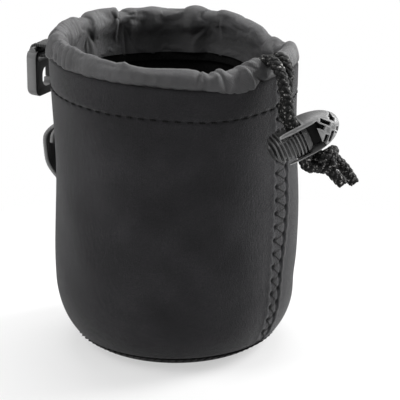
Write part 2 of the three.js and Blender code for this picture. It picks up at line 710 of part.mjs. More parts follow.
function hookBody() {
  const outline = new THREE.Shape();
  const foot = HOOK_LIMB + 0.6;
  outline.moveTo(-postInside, HOOK_BAR_RADIUS);
  outline.lineTo(-postInside, crossbarTop);
  outline.lineTo(postInside, crossbarTop);
  outline.lineTo(postInside, HOOK_BAR_RADIUS);
  outline.lineTo(HOOK_HALF_WIDTH - HOOK_EDGE, HOOK_BAR_RADIUS);
  outline.lineTo(HOOK_HALF_WIDTH, HOOK_BAR_RADIUS / 2);
  outline.lineTo(HOOK_HALF_WIDTH, crossbarLow);
  outline.lineTo(-limbInside + 1, crossbarLow);
  outline.quadraticCurveTo(-limbInside, crossbarLow, -limbInside, crossbarLow - 1);
  outline.lineTo(-limbInside, openingLow + 1);
  outline.quadraticCurveTo(-limbInside, openingLow, -limbInside + 1, openingLow);
  outline.lineTo(limbInside - 1, openingLow);
  outline.quadraticCurveTo(limbInside, openingLow, limbInside, openingLow + 1);
  outline.lineTo(limbInside, noseTop);
  outline.lineTo(HOOK_HALF_WIDTH, noseTop);
  outline.lineTo(HOOK_HALF_WIDTH, hookLow + foot);
  outline.quadraticCurveTo(HOOK_HALF_WIDTH, hookLow, HOOK_HALF_WIDTH - foot, hookLow);
  outline.lineTo(-HOOK_HALF_WIDTH + foot, hookLow);
  outline.quadraticCurveTo(-HOOK_HALF_WIDTH, hookLow, -HOOK_HALF_WIDTH, hookLow + foot);
  outline.lineTo(-HOOK_HALF_WIDTH, HOOK_BAR_RADIUS / 2);
  outline.lineTo(-HOOK_HALF_WIDTH + HOOK_EDGE, HOOK_BAR_RADIUS);
  outline.closePath();
  const plate = toSolid(hookPlate(outline, HOOK_THICKNESS));
  const barLength = 2 * HOOK_HALF_WIDTH - HOOK_POST;
  const bar = new THREE.CylinderGeometry(HOOK_BAR_RADIUS, HOOK_BAR_RADIUS, barLength, 16);
  return toGeometry(plate.add(toSolid(bar.translate(barX, 0, barHeight))));
}

function hookGate() {
  const middle = HOOK_HALF_WIDTH - HOOK_LIMB / 2;
  const half = GATE_WIDTH / 2;
  const pivot = crossbarLow - GAP - half;
  const outline = new THREE.Shape();
  outline.moveTo(middle - half, noseTop + GAP);
  outline.lineTo(middle + half, noseTop + GAP);
  outline.lineTo(middle + half, pivot);
  outline.absarc(middle, pivot, half, 0, Math.PI);
  outline.closePath();
  return hookPlate(outline, HOOK_THICKNESS - 2 * GAP);
}

addMesh("hook_tab", hookTab(), TAPE);
const tabTackHeight = (tabEnd + barHeight) / 2 - 2;
addMesh("tab_tack", barTack(tabOuter - tackOff, tabTackHeight, TAB_WIDTH - tackInset), THREAD);
addMesh("hook_body", hookBody(), PLASTIC);
addMesh("hook_gate", hookGate(), PLASTIC);

export default group;
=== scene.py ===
# The looks of a drawstring lens pouch: knit-faced neoprene, a gathered nylon casing, braided cord, sewn
# seams, a moulded cord lock, webbing and a snap hook. Sizes are in millimetres and become metres when a
# mesh is made. The frame's axes are the part's own: +Z up, the side seam at +X, the belt loop at -X.
import math

import bmesh
import bpy
import numpy as np
from mathutils import Matrix, Vector


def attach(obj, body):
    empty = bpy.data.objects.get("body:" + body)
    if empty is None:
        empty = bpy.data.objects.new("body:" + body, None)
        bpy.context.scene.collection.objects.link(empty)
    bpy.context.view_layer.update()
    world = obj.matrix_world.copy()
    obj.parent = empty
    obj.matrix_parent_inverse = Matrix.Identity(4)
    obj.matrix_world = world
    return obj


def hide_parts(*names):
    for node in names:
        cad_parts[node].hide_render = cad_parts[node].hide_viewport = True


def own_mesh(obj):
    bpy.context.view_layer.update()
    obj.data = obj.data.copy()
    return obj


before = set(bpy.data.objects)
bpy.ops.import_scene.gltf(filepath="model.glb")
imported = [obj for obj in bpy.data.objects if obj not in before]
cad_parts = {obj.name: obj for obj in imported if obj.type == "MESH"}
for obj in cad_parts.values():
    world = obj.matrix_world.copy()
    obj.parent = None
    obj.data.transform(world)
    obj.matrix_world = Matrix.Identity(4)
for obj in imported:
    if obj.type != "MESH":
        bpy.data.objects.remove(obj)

MM = 0.001
TURN = 2 * math.pi
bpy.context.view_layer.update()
RNG = np.random.default_rng(7)

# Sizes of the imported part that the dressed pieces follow

WALL_RADIUS = 40.0
WALL_FLARE = 0.5
WALL_THICKNESS = 3.5
EDGE_HEIGHT = 98.0
EDGE_RADIUS = WALL_RADIUS + WALL_FLARE
RIM_LIP = 1.4  # height of the edge's rounding
FOOT_HEIGHT = 22.0
FLAT_RADIUS = 25.0
BASE_SEAM_ANGLE = 0.54
BASE_SEAM_GAP = 0.008
RIM_LEAN = 0.8
RIM_LEAN_HEADING = math.radians(190)
FLARE_FROM = 58.0  # height above which the mouth is pulled out of round
HOOK_SIDE = 212  # headings in degrees
CORD_SIDE = 42
RIM_SAGS = [(55, 24, 6.0), (130, 45, 1.5), (-38, 22, 1.4)]  # heading and spread in degrees, depth
STITCH_HEIGHT = EDGE_HEIGHT - 10.5
CORD_RADIUS = 1.8
CASING_RING = 37.65
CASING_HEIGHT = 101.2
CASING_FRONT = math.radians(-20)
CASING_REAR = math.radians(0)

# Small tools: angles, paths, frames along them, meshes


def bump(x, width):
    return np.exp(-((x / width) ** 2))


def ease(x, low, high):
    t = np.clip((x - low) / (high - low), 0, 1)
    return t * t * (3 - 2 * t)


def wrapped(angle):
    return (angle + math.pi) % TURN - math.pi


def degrees_past(heading, degrees):
    return np.degrees(wrapped(heading - math.radians(degrees)))


def unit(v):
    return v / np.maximum(np.linalg.norm(v, axis=-1, keepdims=True), 1e-12)


def about_axis(radius, heading, level):
    """Points at a radius from the pouch's axis, a heading round it and a level."""
    return np.stack([radius * np.cos(heading), radius * np.sin(heading), level], axis=-1)


def circle(radius, sides):
    turn = np.linspace(0, TURN, sides, endpoint=False)
    return radius * np.stack([np.cos(turn), np.sin(turn)], axis=1)


def distances(line):
    """How far along a line each of its points is."""
    return np.concatenate([[0], np.cumsum(np.linalg.norm(np.diff(line, axis=0), axis=1))])


def path_length(line):
    return float(np.linalg.norm(np.diff(line, axis=0), axis=1).sum())


def evenly(line, count):
    along = distances(line)
    places = np.linspace(0, along[-1], count)
    return np.stack([np.interp(places, along, column) for column in line.T], axis=1)


def mixed(a, b, t, start, end):
    return (end - t) / (end - start) * a + (t - start) / (end - start) * b


def smooth_path(points, count):
    """A centripetal spline through the points, given as evenly spaced points."""
    points = np.asarray(points, float)
    p = np.vstack([2 * points[0] - points[1], points, 2 * points[-1] - points[-2]])
    dense = []
    for i in range(1, len(p) - 2):
        knots = [0.0]
        for a, b in zip(p[i - 1 : i + 2], p[i : i + 3]):
            knots.append(knots[-1] + max(np.linalg.norm(b - a), 1e-6) ** 0.5)
        t0, t1, t2, t3 = knots
        t = np.linspace(t1, t2, 24, endpoint=False)[:, None]
        first = mixed(p[i - 1], p[i], t, t0, t1)
        middle = mixed(p[i], p[i + 1], t, t1, t2)
        last = mixed(p[i + 1], p[i + 2], t, t2, t3)
        dense.append(mixed(mixed(first, middle, t, t0, t2), mixed(middle, last, t, t1, t3), t, t1, t2))
    return evenly(np.vstack([*dense, points[-1:]]), count)


def path_frames(line, closed=False):
    """Tangent, normal and binormal along a line, carried without twist."""
    if closed:
        tangent = unit(np.roll(line, -1, axis=0) - np.roll(line, 1, axis=0))
    else:
        tangent = unit(np.gradient(line, axis=0))
    seed = np.array([0.0, 0, 1]) if abs(tangent[0][2]) < 0.9 else np.array([1.0, 0, 0])
    normal = np.empty_like(line)
    normal[0] = unit(np.cross(tangent[0], seed))
    for i in range(1, len(line)):
        normal[i] = unit(normal[i - 1] - tangent[i] * np.dot(normal[i - 1], tangent[i]))
    return tangent, normal, np.cross(tangent, normal)


def swept(line, section, closed=False):
    """Rings of [normal, binormal] pairs along a line: one section for all its points, or one for each."""
    _, normal, binormal = path_frames(line, closed)
    section = np.broadcast_to(section, (len(line), *np.shape(section)[-2:]))
    return line[:, None] + section[..., :1] * normal[:, None] + section[..., 1:] * binormal[:, None]


def add_object(name, data):
    obj = bpy.data.objects.new(name, data)
    bpy.context.scene.collection.objects.link(obj)
    return obj


def make_object(name, points, faces, uv=None):
    mesh = bpy.data.meshes.new(name)
    mesh.from_pydata((np.asarray(points) * MM).tolist(), [], faces)
    if uv is not None:
        layer = mesh.uv_layers.new(name="UVMap")
        layer.data.foreach_set("uv", np.asarray(uv, np.float32).ravel())
    mesh.shade_smooth()
    return add_object(name, mesh)


class Build:
    """Collects grids of points into one mesh with a texture map in millimetres."""

    def __init__(self):
        self.points = []
        self.faces = []
        self.uv = []
        self.count = 0

    def grid(self, points, u, v, wrap_rows=False, wrap_columns=False, flip=False):
        rows, columns = points.shape[:2]
        i = np.arange(rows if wrap_rows else rows - 1)
        j = np.arange(columns if wrap_columns else columns - 1)
        i, j = (a.ravel() for a in np.meshgrid(i, j, indexing="ij"))
        corners = [(i, j), (i + 1, j), (i + 1, j + 1), (i, j + 1)]
        if flip:
            corners.reverse()
        u, v = np.asarray(u, float), np.asarray(v, float)
        face = [self.count + (a % rows) * columns + (b % columns) for a, b in corners]
        self.faces.append(np.stack(face, axis=1))
        self.uv.append(np.stack([np.stack([u[a], v[b]], axis=1) for a, b in corners], axis=1))
        self.points.append(points.reshape(-1, 3))
        self.count += rows * columns

    def tube(self, line, section):
        """A section swept along a line, with closed ends."""
        ring = swept(line, section)
        ring = np.concatenate([ring[:1] * 0 + line[0], ring, ring[-1:] * 0 + line[-1]])
        along = np.pad(distances(line), 1, "edge")
        self.grid(ring, along, np.linspace(0, 1, ring.shape[1] + 1), wrap_columns=True, flip=True)

    def make(self, name):
        """The object, with points that coincide joined."""
        points, faces, uv = (np.concatenate(part) for part in (self.points, self.faces, self.uv))
        obj = make_object(name, points, faces.tolist(), uv)
        work = bmesh.new()
        work.from_mesh(obj.data)
        bmesh.ops.remove_doubles(work, verts=work.verts, dist=2e-6)
        bmesh.ops.dissolve_degenerate(work, edges=work.edges, dist=1e-7)
        work.to_mesh(obj.data)
        work.free()
        return obj


def apply_modifiers(obj):
    """Leaves the object with its evaluated mesh and no modifiers."""
    depsgraph = bpy.context.evaluated_depsgraph_get()
    mesh = bpy.data.meshes.new_from_object(obj.evaluated_get(depsgraph))
    old = obj.data
    obj.modifiers.clear()
    obj.data = mesh
    mesh.name = obj.name
    bpy.data.meshes.remove(old)
    return obj


def paint_shade_inside(obj, inside):
    """Gives the faces whose middles pass the test the darker lining material: painted shade on the unlit
    inside.
    """
    obj.data.materials.append(PAINTED_SHADE_LINING)
    middles = np.empty(len(obj.data.polygons) * 3)
    obj.data.polygons.foreach_get("center", middles)
    chosen = inside(middles.reshape(-1, 3) / MM)
    obj.data.polygons.foreach_set("material_index", chosen.astype(np.int32))


def dress(obj, material, body="pouch", nodes=()):
    obj.data.materials.clear()
    obj.data.materials.append(material)
    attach(obj, body)
    if nodes:
        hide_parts(*nodes)
    return obj


# Materials


class Shader:
    """One Principled material with a few helpers for procedural detail."""

    def __init__(self, name, **sockets):
        self.material = bpy.data.materials.new(name)
        self.material.use_nodes = True
        self.tree = self.material.node_tree
        self.bsdf = self.tree.nodes["Principled BSDF"]
        for key, value in sockets.items():
            self.bsdf.inputs[key.replace("_", " ")].default_value = value
        split = self.node("ShaderNodeSeparateXYZ", {0: self.node("ShaderNodeUVMap").outputs[0]})
        self.u, self.v = split.outputs[:2]
        self.place = self.node("ShaderNodeTexCoord")

    def feed(self, socket, value):
        """Gives a socket its value, or a link from another node's output."""
        if isinstance(value, bpy.types.NodeSocket):
            self.tree.links.new(value, socket)
        else:
            socket.default_value = value

    def node(self, kind, inputs=None, **settings):
        made = self.tree.nodes.new(kind)
        for key, value in settings.items():
            setattr(made, key, value)
        for key, value in (inputs or {}).items():
            self.feed(made.inputs[key], value)
        return made

    def maths(self, operation, *values):
        return self.node("ShaderNodeMath", dict(enumerate(values)), operation=operation).outputs[0]

    def weighted(self, *parts):
        """The sum of values that each come with a weight."""
        total = None
        for value, weight in parts:
            part = value if weight == 1 else self.maths("MULTIPLY", value, weight)
            total = part if total is None else self.maths("ADD", total, part)
        return total

    def wave(self, coordinate, pitch):
        return self.maths("SINE", self.maths("MULTIPLY", coordinate, TURN / pitch))

    def noise(self, scale, detail=3.0, roughness=0.55):
        """Noise over the object's own space; scale is in features per metre."""
        look = {"Scale": scale, "Detail": detail, "Roughness": roughness}
        return self.node("ShaderNodeTexNoise", {"Vector": self.place.outputs["Object"], **look}).outputs[0]

    def spread(self, value, low, high, from_low=0.0, from_high=1.0):
        ends = {"From Min": from_low, "From Max": from_high, "To Min": low, "To Max": high}
        return self.node("ShaderNodeMapRange", {"Value": value, **ends}).outputs["Result"]

    def colours(self, value, stops):
        ramp = self.node("ShaderNodeValToRGB", {0: value})
        elements = ramp.color_ramp.elements
        while len(elements) < len(stops):
            elements.new(0.5)
        for element, (position, colour) in zip(elements, stops):
            element.position = position
            element.color = (*colour, 1)
        self.feed(self.bsdf.inputs["Base Color"], ramp.outputs[0])

    def relief(self, height, depth):
        made = self.node("ShaderNodeBump", {"Strength": 1.0, "Distance": depth * MM, "Height": height})
        self.feed(self.bsdf.inputs["Normal"], made.outputs[0])

    def roughness(self, value, low, high):
        self.feed(self.bsdf.inputs["Roughness"], self.spread(value, low, high))


def grey(value, warm=0.0):
    return (value * (1 + warm), value, value * (1 - warm))


def cool(value):
    return (value, value * 0.985, value * 1.06)


def neoprene_material():
    s = Shader("neoprene_knit", Sheen_Weight=0.24, Sheen_Roughness=0.35, Specular_IOR_Level=0.08)
    # Fine jersey: columns of loops that lean left and right in turn.
    columns = s.wave(s.weighted((s.u, 1), (s.wave(s.v, 0.62), 0.11)), 0.55)
    loops = s.maths("MULTIPLY", columns, s.spread(s.wave(s.v, 0.31), 0.6, 1.0, -1, 1))
    fuzz = s.noise(2600, 4, 0.65)
    s.relief(s.weighted((loops, 0.08), (fuzz, 1.6), (s.noise(700), 0.8)), 0.2)
    patch = s.weighted((s.noise(60, 4), 0.45), (fuzz, 0.55))
    s.colours(patch, [(0.3, cool(0.0125)), (0.52, cool(0.0225)), (0.74, cool(0.041))])
    s.roughness(fuzz, 0.85, 1.0)
    return s.material


# Painted shade: the same neoprene, darker and without sheen, for inside faces that light hardly reaches.
def painted_shade_lining_material():
    s = Shader("neoprene_painted_shade", Specular_IOR_Level=0.04)
    cells = s.noise(1800)
    s.relief(cells, 0.12)
    s.colours(cells, [(0.3, grey(0.005)), (0.7, grey(0.013))])
    s.roughness(cells, 0.9, 1.0)
    return s.material


def nylon_material():
    s = Shader("casing_weave", Sheen_Weight=0.1, Sheen_Roughness=0.3, Specular_IOR_Level=0.75)
    weave = s.maths("MULTIPLY", s.wave(s.u, 0.5), s.wave(s.v, 0.5))
    fine = s.noise(4200)
    s.relief(s.weighted((weave, 0.35), (s.wave(s.v, 0.25), 0.15), (fine, 1), (s.noise(900), 1.6)), 0.12)
    soft = s.weighted((s.noise(110), 0.6), (fine, 0.4))
    s.colours(soft, [(0.3, cool(0.015)), (0.52, cool(0.026)), (0.72, cool(0.045))])
    s.roughness(fine, 0.42, 0.62)
    return s.material


def cord_material():
    s = Shader("braided_cord", Specular_IOR_Level=0.2)
    fine = s.noise(6500, 2)
    s.relief(s.weighted((s.wave(s.v, 0.085), 0.5), (fine, 1)), 0.05)
    dark = [(0.45, grey(0.003)), (0.57, grey(0.007))]
    # Painted highlights: light flecks stand for the glints on the braid.
    painted_glints = [(0.63, grey(0.1, 0.03)), (0.74, grey(0.42, 0.02))]
    s.colours(s.noise(1000, 2, 0.7), dark + painted_glints)
    s.roughness(fine, 0.45, 0.7)
    return s.material


def thread_material(name, shades):
    s = Shader(name, Specular_IOR_Level=0.12)
    twist = s.wave(s.weighted((s.v, 0.55), (s.u, 1)), 0.55)
    s.relief(twist, 0.06)
    # Painted shade: the colour follows the twist's relief, darker in its grooves and lighter on its ridges.
    s.colours(s.spread(twist, 0, 1, -1, 1), list(zip((0.0, 0.6, 1.0), map(grey, shades))))
    s.roughness(s.noise(4000), 0.65, 0.9)
    return s.material


def webbing_material(name, half_width, shades, painted_edge_light):
    """Ribbed tape; its woven edges, half_width from the middle of the map's v, are painted paler as painted
    light, and its weave is painted darker where it sinks, as painted shade.
    """
    s = Shader(name, Sheen_Weight=0.2, Sheen_Roughness=0.4, Specular_IOR_Level=0.4)
    ribs = s.wave(s.u, 0.9)
    across = s.wave(s.weighted((s.v, 1), (ribs, 0.2)), 1.1)
    fine = s.noise(5200)
    height = s.weighted((s.maths("MULTIPLY", ribs, across), 1), (fine, 0.5))
    s.relief(height, 0.14)
    # Painted light and shade: the edge band is painted paler, and the low parts of the weave darker.
    out = s.spread(s.maths("ABSOLUTE", s.v), 0, 0.5, half_width - 0.5, half_width - 0.1)
    shade = s.maths("ADD", s.spread(height, 0, 0.5, -0.8, 1.4), out)
    greys = map(grey, (*shades, painted_edge_light, painted_edge_light * 1.3))
    s.colours(shade, list(zip((0.07, 0.27, 0.45, 0.75, 1.0), greys)))
    s.roughness(fine, 0.55, 0.8)
    return s.material


def plastic_material(name, dark, light, rough_low, rough_high, specular=0.5, painted_lit_side=False):
    """Moulded plastic, paler along its edges, partly as wear and partly as a painted edge highlight; a piece
    with a painted lit side is painted paler on its -X side and dark on its +X side.
    """
    s = Shader(name, Specular_IOR_Level=specular)
    patch = s.noise(160, 4)
    s.relief(s.weighted((s.noise(9000, 2), 1), (patch, 0.6)), 0.03)
    # Convex edges are painted paler: partly wear, partly painted highlight.
    edges = s.node("ShaderNodeNewGeometry").outputs["Pointiness"]
    wear_and_painted_light = s.weighted((s.spread(edges, 0, 0.75, 0.5, 0.62), 1), (patch, 0.3))
    # Painted light and shade: faces turned to -X are painted paler as if lit, and faces turned to +X, toward
    # the pouch, are painted dark as if shaded.
    if painted_lit_side:
        facing = s.node("ShaderNodeSeparateXYZ", {0: s.place.outputs["Normal"]}).outputs[0]
        wear_and_painted_light = s.maths("MULTIPLY", s.maths("ADD", wear_and_painted_light, 0.4), s.spread(facing, 1, 0, 0.05, 0.5))
    s.colours(wear_and_painted_light, [(0.1, grey(dark)), (0.35, grey((dark + light) / 2)), (1.0, grey(light))])
    s.roughness(patch, rough_low, rough_high)
    return s.material


def steel_material():
    s = Shader("spring_wire", Metallic=1.0)
    drawn = s.noise(2500, 3)
    s.relief(drawn, 0.01)
    s.colours(drawn, [(0.3, grey(0.4)), (0.7, grey(0.62))])
    s.roughness(drawn, 0.22, 0.4)
    return s.material


NEOPRENE = neoprene_material()
PAINTED_SHADE_LINING = painted_shade_lining_material()
NYLON = nylon_material()
CORD = cord_material()
THREAD = thread_material("sewing_thread", (0.0025, 0.005, 0.011))
SEAM_THREAD = thread_material("seam_thread", (0.012, 0.028, 0.055))
# Painted light: the strap's edges are painted much paler than its face.
STRAP_WEB = webbing_material("strap_weave", 10.0, (0.02, 0.042, 0.075), 0.16)
TAB_WEB = webbing_material("tab_weave", 4.0, (0.007, 0.016, 0.03), 0.03)
LOCK_PLASTIC = plastic_material("lock_plastic", 0.085, 0.26, 0.34, 0.46)
# Painted shade: the button is the lock's own plastic, painted darker to stand for the shade on its ribbed
# face.
PAINTED_SHADE_PAD_PLASTIC = plastic_material("button_plastic_painted_shade", 0.022, 0.16, 0.32, 0.44)
# Painted shade: near-black plastic for the core behind the lock's slots and for the button's stem in its
# window.
PAINTED_SHADE_PLASTIC = plastic_material("painted_shade_plastic", 0.002, 0.007, 0.5, 0.65, 0.12)
# Painted light and shade: the hook's -X side is painted pale, its side toward the pouch dark.
HOOK_PLASTIC = plastic_material("hook_plastic", 0.004, 0.18, 0.45, 0.6, 0.12, painted_lit_side=True)
GATE_PLASTIC = plastic_material("gate_plastic", 0.005, 0.03, 0.45, 0.6, 0.2)
STEEL = steel_material()

# Neoprene cup


def foot_curve(turn, inset=0.0):
    """Radius and height of the rounded foot's outside, or of a surface inset from it."""
    radius = FLAT_RADIUS + (WALL_RADIUS - inset - FLAT_RADIUS) * np.sin(turn)
    return np.stack([radius, inset + (FOOT_HEIGHT - inset) * (1 - np.cos(turn))], axis=-1)


def foot_turn(height):
    return np.arccos(np.clip(1 - height / FOOT_HEIGHT, -1, 1))


def up_wall(height):
    return (height - FOOT_HEIGHT) / (EDGE_HEIGHT - FOOT_HEIGHT)


def wall_radius(height):
    foot = foot_curve(foot_turn(height))[..., 0]
    return np.where(height >= FOOT_HEIGHT, WALL_RADIUS + WALL_FLARE * up_wall(height), foot)


def lean(heading, height):
    """How far the wall's levels rise or sag round the cup: not at its foot, most at its edge."""
    rise = RIM_LEAN * np.cos(heading - RIM_LEAN_HEADING)
    for degrees, spread, depth in RIM_SAGS:
        rise = rise - depth * bump(degrees_past(heading, degrees), spread)
    return np.maximum(0, up_wall(height)) * rise


def flare(heading, height):
    """The mouth is pulled out a little on the side that carries the hook, and in beside the cord."""
    out = 0.6 * bump(degrees_past(heading, HOOK_SIDE), 25)
    pulled = 0.9 * bump(degrees_past(heading, CORD_SIDE), 26)
    return (out - pulled) * ease(height, FLARE_FROM, EDGE_HEIGHT)


def seam_heading(height):
    """The side seam wanders a few degrees round the cup from its foot to its edge."""
    return math.radians(-8) + math.radians(6) * ease(height, 4, 58)


def seam_half_width(height):
    """The seam's two rows of stitch holes draw apart above the foot."""
    return 1.8 + 1.3 * ease(height, 10, 60)


SEAM_FOOT = foot_curve(BASE_SEAM_ANGLE)
SIDE_PERIOD = 4.6
SIDE_RUNG = 0.6  # how far a stitch rises from the left row of holes to the right one
SIDE_BOTTOM = 5.2
SIDE_TOP = 85.5
TOP_STITCHES = 66
TOP_STITCH_SHARE = 0.56
FOLDS = [  # heading in degrees, height, half widths in degrees and millimetres, depth
    (30, 46, 26, 13, 0.7),
    (34, 21, 22, 6, -0.8),
    (-35, 60, 20, 18, -0.35),
    (-75, 34, 24, 14, 0.45),
    (-110, 66, 22, 16, -0.4),
    (-150, 28, 24, 12, 0.5),
    (208, 64, 26, 24, -0.7),
    (30, 74, 24, 16, -0.5),
    (95, 52, 30, 16, -0.5),
    (140, 36, 22, 18, 0.5),
]


def wall_relief(heading, height):
    """How far the neoprene stands out from its plain form: seams, hem and soft unevenness."""
    across = wrapped(heading - seam_heading(height)) * WALL_RADIUS
    half = seam_half_width(height)
    seam = 0.12 * bump(across + half + 1.4, 1.4) - 0.15 * bump(across - half, 0.7)
    # Each row of holes: its side, its first hole, how deep the holes are and how far the foam swells between.
    for side, first, depth, swell in ((1, SIDE_RUNG, 1.0, 0.4), (-1, 0, 0.75, 0.1)):
        past = (height - SIDE_BOTTOM - first) / SIDE_PERIOD
        nearest = (past - np.round(past)) * SIDE_PERIOD
        seam = seam - depth * bump(across - side * half, 0.75) * bump(nearest, 0.8)
        between = 0.6 - 0.4 * np.cos(TURN * past)
        seam = seam + swell * between * bump(across - side * (half + 1.3), 1.0)
    seam = seam * ease(height, 2, 8)
    above = height - STITCH_HEIGHT
    dive = 0.5 + 0.5 * np.cos(TOP_STITCHES * heading - TURN * (1 + TOP_STITCH_SHARE) / 2)
    hem = 0.14 * ease(above, 0.3, 2.2) - (0.08 + 0.34 * dive) * bump(above, 0.6)
    pinch = -0.7 * bump(height - SEAM_FOOT[1], 1.0)
    soft = 0
    for degrees, level, wide, tall, depth in FOLDS:
        soft = soft + depth * bump(degrees_past(heading, degrees), wide) * bump(height - level, tall)
    ripple = 0.12 * np.sin(9 * heading + height / 7) * bump(height - 45, 26)
    return seam + hem + pinch + soft + ripple + flare(heading, height)


def on_wall(heading, height, lift=0.0):
    """A point on the outside of the wall, lifted along its outward direction."""
    heading, height = np.broadcast_arrays(np.asarray(heading, float), np.asarray(height, float))
    turn = foot_turn(height)
    in_foot = height < FOOT_HEIGHT
    out_r = np.where(in_foot, FOOT_HEIGHT * np.sin(turn), 1.0)
    out_z = np.where(in_foot, -(WALL_RADIUS - FLAT_RADIUS) * np.cos(turn), 0.0)
    size = np.hypot(out_r, out_z)
    away = wall_relief(heading, height) + lift
    radius = wall_radius(height) + away * out_r / size
    level = height + away * out_z / size + lean(heading, height)
    return about_axis(radius, heading, level)


def around_headings():
    """Headings round the cup from the side seam, closer together beside it."""
    seam = np.arange(-5.0, 5.01, 0.25) / WALL_RADIUS
    rest = np.linspace(seam[-1], TURN + seam[0], 400)
    return np.concatenate([seam, rest[1:-1]])


HEADINGS = around_headings()
ROUND = np.append(HEADINGS, HEADINGS[0] + TURN)


def ring_points(radius, level, relief_level, relief_share=1.0):
    """One ring of the wall; the inside follows only a share of the outside's unevenness."""
    heading = HEADINGS + seam_heading(level)
    out = flare(heading, relief_level)
    away = out + relief_share * np.minimum(wall_relief(heading, relief_level) - out, 0.4)
    return about_axis(radius + away, heading, level + lean(heading, level))


def cup_wall():
    foot_turns = np.linspace(BASE_SEAM_ANGLE + BASE_SEAM_GAP, math.pi / 2, 60)
    inner_turns = np.linspace(math.pi / 2, BASE_SEAM_ANGLE + BASE_SEAM_GAP, 14)
    rim = EDGE_HEIGHT - RIM_LIP
    half = WALL_THICKNESS / 2
    plain = np.linspace(FOOT_HEIGHT, rim, 170)
    by_stitches = STITCH_HEIGHT + np.linspace(-2.5, 2.5, 21)
    levels = np.unique(np.concatenate([plain, by_stitches]))
    outside = np.concatenate([foot_curve(foot_turns)[:-1, 1], levels])
    columns = [on_wall(HEADINGS + seam_heading(z), z) for z in outside]
    for turn in np.linspace(0, math.pi, 13)[1:-1]:
        radius = EDGE_RADIUS - half + half * np.sign(np.cos(turn)) * np.abs(np.cos(turn)) ** 0.7
        columns.append(ring_points(radius, rim + RIM_LIP * np.sin(turn) ** 0.7, rim))
    for z in np.linspace(rim, FOOT_HEIGHT, 24):
        columns.append(ring_points(wall_radius(z) - WALL_THICKNESS, z, z, 0.4))
    for radius, level in foot_curve(inner_turns, WALL_THICKNESS)[1:]:
        columns.append(ring_points(radius, level, level, 0))
    points = np.stack(columns, axis=1)
    side = points[60]
    v = np.append(distances(side), path_length(side) + WALL_THICKNESS)
    build = Build()
    build.grid(points, ROUND * WALL_RADIUS, v, wrap_rows=True, wrap_columns=True)
    return build.make("cup_wall")


def cup_base():
    turns = np.linspace(0, BASE_SEAM_ANGLE - BASE_SEAM_GAP, 14)
    spokes = np.linspace(0.4, FLAT_RADIUS, 16)[:-1]
    under = np.stack([spokes, np.zeros_like(spokes)], axis=1)
    over = np.stack([spokes[::-1], np.full_like(spokes, WALL_THICKNESS)], axis=1)
    profile = np.concatenate([under, foot_curve(turns), foot_curve(turns[::-1], WALL_THICKNESS), over])
    columns = []
    for r, z in profile:
        tuck = 0.5 * bump(r - SEAM_FOOT[0], 1.2)
        wave = 0.12 * np.sin(5 * HEADINGS + r / 4) * ease(r, 3, 15) * ease(FLAT_RADIUS - r, -2, 4)
        rise = z + tuck * (1 if z < WALL_THICKNESS / 2 + 2 else 0.3)
        columns.append(about_axis(r, HEADINGS, rise + (np.abs(wave) if z < 1 else wave)))
    points = np.stack(columns, axis=1)
    u = ROUND * FLAT_RADIUS
    build = Build()
    build.grid(points, u, distances(points[0]), wrap_rows=True)
    for column in (0, -1):
        edge = points[:, column]
        fan = np.stack([edge, np.broadcast_to(edge.mean(axis=0), edge.shape)], axis=1)
        build.grid(fan, u, [0, 0.4], wrap_rows=True, flip=column == 0)
    return build.make("cup_base")


# Stitches: short threads whose ends dive into the cloth

STITCH_POINTS = 9
BASE_STITCHES = 84


def add_stitch(build, place, start, end, high, deep, radius):
    """A thread from start to end, in the two coordinates of place, that arches above the cloth."""
    t = np.linspace(0, 1, STITCH_POINTS)
    a, b = (first + (last - first) * t for first, last in zip(start, end))
    arch = np.minimum(1, 2.6 * np.sin(math.pi * t))
    taper = np.sin(np.linspace(0.25, math.pi - 0.25, STITCH_POINTS)) ** 0.35
    build.tube(place(a, b, -deep + (high + deep) * arch), circle(radius, 7)[None] * taper[:, None, None])


def collar_stitches():
    step = TURN / TOP_STITCHES
    build = Build()
    for i in range(TOP_STITCHES):
        start = (i * step, STITCH_HEIGHT + RNG.normal(0, 0.06))
        end = ((i + TOP_STITCH_SHARE) * step, STITCH_HEIGHT + RNG.normal(0, 0.06))
        add_stitch(build, on_wall, start, end, high=0.08, deep=0.45, radius=0.28)
    return build.make("collar_stitches")


def seam_hole(side, level):
    return seam_heading(level) + side * float(seam_half_width(level) / wall_radius(level)), level


def side_stitches():
    """A flat zigzag over the side seam: nearly level from left to right, slanting back."""
    build = Build()
    level = SIDE_BOTTOM
    while level < SIDE_TOP:
        holes = [seam_hole(-1, level), seam_hole(1, level + SIDE_RUNG), seam_hole(-1, level + SIDE_PERIOD)]
        for start, end in zip(holes, holes[1:]):
            add_stitch(build, on_wall, start, end, high=0.04, deep=0.5, radius=0.2)
        level += SIDE_PERIOD
    return build.make("side_stitches")


def base_stitches():
    step = TURN / BASE_STITCHES
    build = Build()
    for i in range(BASE_STITCHES):
        start = (i * step, SEAM_FOOT[1] - 0.95)
        end = (i * step + 0.55 * step, SEAM_FOOT[1] + 1.35)
        add_stitch(build, on_wall, start, end, high=0.42, deep=0.25, radius=0.3)
    return build.make("base_stitches")


# Collar: nylon sewn to the wall's edge, over the cord and down inside; cut longer than the mouth, so that
# it gathers

